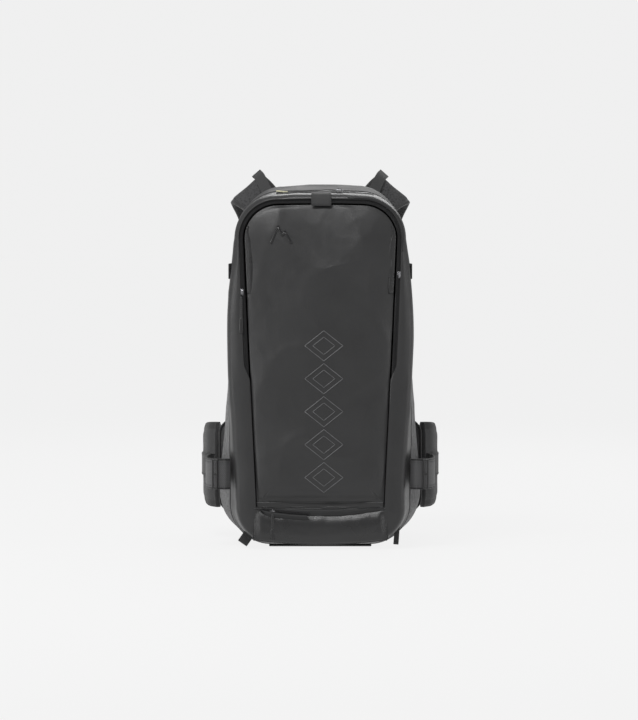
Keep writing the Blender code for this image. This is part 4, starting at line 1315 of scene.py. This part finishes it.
# ---- buckles ------------------------------------------------------------------------------------
def buckle_part(name, node, body, outline, thick, windows=()):
    """A moulded buckle half: an (x, z) outline given as shares of its CAD box, domed front and back, with a raised rib
    at each window.
    """
    low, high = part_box(node)
    size, mid = high - low, (low + high) / 2
    mesh = bmesh.new()
    rings = []
    for y, inset in ((-0.5, 0.10), (-0.38, 0.02), (-0.2, 0.0), (0.2, 0.0), (0.38, 0.02), (0.5, 0.10)):
        ring = []
        for u, v in outline:
            x, z = mid.x + (u * (1 - inset * 0.5)) * size.x / 2, mid.z + (v * (1 - inset)) * size.z / 2
            ring.append(mesh.verts.new((x, mid.y + y * thick, z)))
        rings.append(ring)
    count = len(outline)
    for a, b in zip(rings, rings[1:]):
        for j in range(count):
            mesh.faces.new((a[j], a[(j + 1) % count], b[(j + 1) % count], b[j]))
    mesh.faces.new(list(reversed(rings[0])))
    mesh.faces.new(rings[-1])
    made = finish_mesh(name, mesh, PLASTIC, body, 28)
    bevel = made.modifiers.new("moulded_edges", "BEVEL")
    bevel.width, bevel.segments, bevel.angle_limit = 0.0005, 2, math.radians(25)
    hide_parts(node)
    for k, (u, v, w, h) in enumerate(windows):
        x, z = mid.x + u * size.x / 2, mid.z + v * size.z / 2
        pts = [Vector((x - w * size.x / 2, 0, z)), Vector((x + w * size.x / 2, 0, z))]
        for sign, word in ((-1, "front"), (1, "rear")):
            line = [p + Vector((0, mid.y + sign * (thick / 2 + 0.0001), 0)) for p in pts]
            ridge = smooth_path([line[0], line[0].lerp(line[1], 0.5), line[1]], 4)
            rise = [(h * size.z / 2 * c, 0.0005 * s) for c, s in ((-1, 0), (-0.8, 1), (0.8, 1), (1, 0), (0.8, -1), (-0.8, -1))]
            swept(f"{name}_rib_{k}_{word}", ridge, Vector((0, 0, 1)), lambda i, s: rise, PLASTIC, body, 30)
    return made


FEMALE = [(-1, -0.86), (-0.9, -1), (0.25, -1), (0.42, -0.78), (0.62, -0.78), (0.8, -1), (0.95, -0.95), (1, -0.8), (1, 0.8), (0.95, 0.95), (0.8, 1), (0.62, 0.78), (0.42, 0.78), (0.25, 1), (-0.9, 1), (-1, 0.86)]
MALE = [(-1, -0.55), (-0.75, -0.74), (-0.55, -0.60), (-0.25, -0.60), (-0.2, -0.95), (-0.1, -1), (0.9, -1), (1, -0.86), (1, 0.86), (0.9, 1), (-0.1, 1), (-0.2, 0.95), (-0.25, 0.60), (-0.55, 0.60), (-0.75, 0.74), (-1, 0.55), (-0.98, 0.36), (-0.5, 0.30), (-0.3, 0.18), (-0.3, 0.10), (-0.85, 0.08), (-0.85, -0.08), (-0.3, -0.10), (-0.3, -0.18), (-0.5, -0.30), (-0.98, -0.36)]


def make_chest_strap():
    low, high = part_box("sternum_buckle_female")
    buckle_part("chest_socket", "sternum_buckle_female", "chest_strap_left", FEMALE, high.y - low.y, ((-0.25, 0.0, 0.35, 0.35), (-0.75, 0.0, 0.08, 0.7)))
    low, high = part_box("sternum_buckle_male")
    buckle_part("chest_tongue", "sternum_buckle_male", "chest_latch", MALE, high.y - low.y, ((0.45, 0.0, 0.2, 0.55),))
    for name, _ in SIDES:
        body = "chest_strap_left" if name == "left" else "chest_latch"
        low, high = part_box(f"sternum_webbing_{name}")
        y, z = (low.y + high.y) / 2, (low.z + high.z) / 2
        path = [Vector((lerp(low.x, high.x, i / 10), y, z)) for i in range(11)]
        made = webbing_strap(f"chest_webbing_{name}", path, Vector((0, 0, 1)), high.z - low.z, 0.0015, WEBBING, body)
        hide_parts(f"sternum_webbing_{name}")
        body = "chest_strap_left" if name == "left" else "chest_clip_right"
        low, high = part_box(f"sternum_clip_{name}")
        made = frame_bars(f"chest_clip_frame_{name}", low, high, (0.0, 1.0), 0.0030, high.y - low.y, Vector((0, 1, 0)), body)
        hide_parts(f"sternum_clip_{name}")


def make_hip_belt():
    """The padded wings, faced in harness cloth with bound edges, their webbing, and the open buckle."""
    points = [(0.1625, 0.1020), (0.1750, 0.1180), (0.1815, 0.1450), (0.1815, 0.1800), (0.1740, 0.2200), (0.1600, 0.2500)]
    heights = [0.142, 0.140, 0.132, 0.118, 0.098, 0.070]
    levels = [0.118, 0.118, 0.117, 0.116, 0.115, 0.115]
    tail = [(0.1590, 0.2515), (0.1480, 0.2680), (0.1250, 0.2860), (0.0950, 0.2980), (0.0720, 0.3020)]
    for name, side in SIDES:
        body = f"hip_belt_{name}"
        path = smooth_path([place(x, y, z, side) for (x, y), z in zip(points, levels)], 9)
        tall = [v.x for v in smooth_path([Vector((h, 0, 0)) for h in heights], 9)]
        up = Vector((0, 0, 1))
        bound_pad(f"hip_pad_{name}", f"hip_wing_{name}", path, up, tall, 0.0142, CLOTH, body, 0.0008)
        normals = [n for _, _, n in frames_of(path, up)]
        outer = 1 if normals[20].x * side > 0 else -1
        cover = [p + n * outer * 0.0080 for p, n in zip(path[6:-2], normals[6:-2])]
        webbing_strap(f"hip_cover_webbing_{name}", cover, up, 0.036, 0.0015, WEBBING, body)
        for level in (-0.0155, 0.0155):
            line = [p + up * level + n * outer * 0.0009 for p, n in zip(cover, normals[6:-2])]
            word = "low" if level < 0 else "high"
            stitches(f"hip_stitch_{word}_{name}", line, [n * outer for n in normals[6:-2]], THREAD, body)
        made = webbing_strap(f"hip_tail_{name}", smooth_path([place(x, y, 0.115, side) for x, y in tail], 8), up, 0.038, 0.0016, WEBBING, body)
        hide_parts(f"hip_webbing_{name}")
    low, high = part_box("hip_buckle_female")
    buckle_part("hip_socket", "hip_buckle_female", "hip_belt_left", FEMALE, high.y - low.y, ((-0.2, 0.0, 0.4, 0.3), (-0.75, 0.0, 0.08, 0.75)))
    low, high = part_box("hip_buckle_male")
    buckle_part("hip_tongue", "hip_buckle_male", "hip_belt_right", MALE, high.y - low.y, ((0.45, 0.0, 0.2, 0.55),))


# ---- ski carry and small webbing ----------------------------------------------------------------
def make_ski_straps():
    """The wide lower straps: laminated cloth with bound, stitched edges, hooked into an anchor behind."""
    loop = [(0.1405, -0.0700), (0.1500, -0.0745), (0.1660, -0.0690), (0.1755, -0.0500), (0.1785, -0.0250)]
    loop += [(0.1785, 0.0250), (0.1750, 0.0480), (0.1690, 0.0600)]
    low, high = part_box("ski_loop_right")
    z, tall = (low.z + high.z) / 2, high.z - low.z
    up = Vector((0, 0, 1))
    for name, side in SIDES:
        body = f"ski_strap_{name}"
        path = smooth_path([place(x, y, z, side) for x, y in loop], 9)
        made = webbing_strap(f"ski_strap_cloth_{name}", path, up, tall - 0.001, 0.0022, STRAP, body)
        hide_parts(f"ski_loop_{name}")
        normals = [n for _, _, n in frames_of(path, up)]
        outer = 1 if normals[30].x * side > 0 else -1
        for level, word in ((-1, "low"), (1, "high")):
            line = [p + up * level * (tall / 2 - 0.0052) + n * outer * 0.0012 for p, n in zip(path, normals)]
            stitches(f"ski_stitch_{word}_{name}", line, [n * outer for n in normals], THREAD, body)
            edge = [p + up * level * (tall / 2 - 0.0012) for p in path]
            tube(f"ski_binding_{word}_{name}", edge, 0.0017, BINDING, body, 8)
        hook = [p + n * outer * 0.0016 for p, n in zip(path[-12:], normals[-12:])]
        webbing_strap(f"ski_hook_{name}", hook, up, tall * 0.62, 0.0022, PLASTIC, body)
        make_ski_buckle(name, side, z, tall)
        made = anchor_plate(name, side)
        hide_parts(f"ski_loop_anchor_{name}")
        made = upper_strap(name, side)
        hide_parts(f"upper_ski_strap_{name}")


def make_ski_buckle(name, side, z, tall):
    """The narrow moulded buckle across the strap's front, with an open slot."""
    a, b = place(0.1590, -0.0795, z - tall * 0.5, side), place(0.1685, -0.0755, z + tall * 0.5, side)
    low = Vector((min(a.x, b.x), a.y, a.z))
    high = Vector((max(a.x, b.x), b.y, b.z))
    made = frame_bars(f"ski_buckle_{name}", low, high, (0.0, 0.5, 1.0), 0.0028, high.y - low.y, Vector((0, 1, 0)), f"ski_strap_{name}")


def anchor_plate(name, side):
    points = [(0.1595, 0.0720), (0.1640, 0.0715), (0.1685, 0.0690), (0.1700, 0.0640)]
    low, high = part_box(f"ski_loop_anchor_{name}")
    path = smooth_path([place(x, y, (low.z + high.z) / 2, side) for x, y in points], 6)
    return webbing_strap(f"ski_anchor_{name}", path, Vector((0, 0, 1)), high.z - low.z, 0.0040, PLASTIC, "bag")


def upper_strap(name, side):
    """The upper strap lies along the side, sewn at both ends, flat against the cloth."""
    low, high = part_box(f"upper_ski_strap_{name}")
    z = (low.z + high.z) / 2
    path = []
    for i in range(25):
        depth = lerp(0.90, 0.12, i / 24)
        x = half_width(wall_outline(depth), z) + 0.0036
        path.append(Vector((x * side, depth_y(depth, z), z)))
    return webbing_strap(f"upper_strap_webbing_{name}", path, Vector((0, 0, 1)), high.z - low.z - 0.001, 0.0016, WEBBING, "bag")


def lower_edge_z(x, y):
    """Height of the bag's rounded lower corner at (x, y)."""
    depth = (BACK_WALL_Y - y) / (BACK_WALL_Y - front_y(0.01))
    o = wall_outline(depth)
    reach = abs(x) - (o.half_low - o.r_low)
    return o.low + o.r_low - math.sqrt(max(o.r_low**2 - max(reach, 0) ** 2, 0.0))


def folded_tab(name, node, root_x, width, thick):
    """A doubled piece of webbing sewn under the bag's lower corner: it faces forwards and ends in a fold."""
    low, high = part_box(node)
    y = (low.y + high.y) / 2
    tip = Vector(((low.x + high.x) / 2, y, low.z + width * 0.30))
    root = Vector((root_x, y, lower_edge_z(root_x, y) + 0.006))
    along = (tip - root).normalized()
    gap = Vector((0, thick * 0.9, 0))
    path = [root - gap, root.lerp(tip, 0.5) - gap * 1.2, tip - gap * 1.3, tip + along * thick, tip + gap * 1.3, root.lerp(tip, 0.5) + gap * 1.2, root + gap]
    across = Vector((-along.z, 0, along.x))
    made = webbing_strap(name, smooth_path(path, 5), across, width, thick, WEBBING, "bag")
    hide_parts(node)


def make_small_webbing():
    """The loop at the lower left corner and the tab at the lower right one."""
    low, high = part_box("axe_loop")
    folded_tab("axe_loop_webbing", "axe_loop", high.x + 0.003, 0.0165, 0.0016)
    low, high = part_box("bottom_tab")
    folded_tab("bottom_tab_webbing", "bottom_tab", (low.x + high.x) / 2 + 0.002, 0.0080, 0.0011)


def finish_carried_nodes():
    """Materials for the CAD pieces that show as they are: the base and what is inside."""
    lining = plain("lining_fabric", (0.12, 0.12, 0.125), 0.85, 1200)
    finishes = {
        "base_panel": PLASTIC,
        "goggle_pocket": lining,
        "bladder_sleeve": lining,
        "tool_sleeve": heather_fabric("tool_sleeve_cloth", 0.05, 0.12),
        "frame_sheet": plain("frame_plastic", (0.45, 0.46, 0.47), 0.5, 300),
        "frame_stay_left": plain("stay_aluminium", (0.60, 0.61, 0.63), 0.35, 300, metallic=1.0),
        "frame_stay_right": bpy.data.materials["stay_aluminium"] if "stay_aluminium" in bpy.data.materials else PLASTIC,
        "channel_mesh": MESH,
    }
    for node, material in finishes.items():
        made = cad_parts[node]
        for i in range(len(made.data.materials)):
            made.data.materials[i] = material


make_camera()
make_studio()
make_front_frame()
make_sides()
make_side_pocket_edges()
make_back_wall()
panel_surface = make_front_panel()
make_fold_strip()
make_main_zip()
make_zip_slit_shadow()
make_welts()
make_lower_pocket()
make_marks(panel_surface)
make_top()
make_shoulder_straps()
make_back_pads()
make_chest_strap()
make_hip_belt()
make_ski_straps()
make_small_webbing()
finish_carried_nodes()
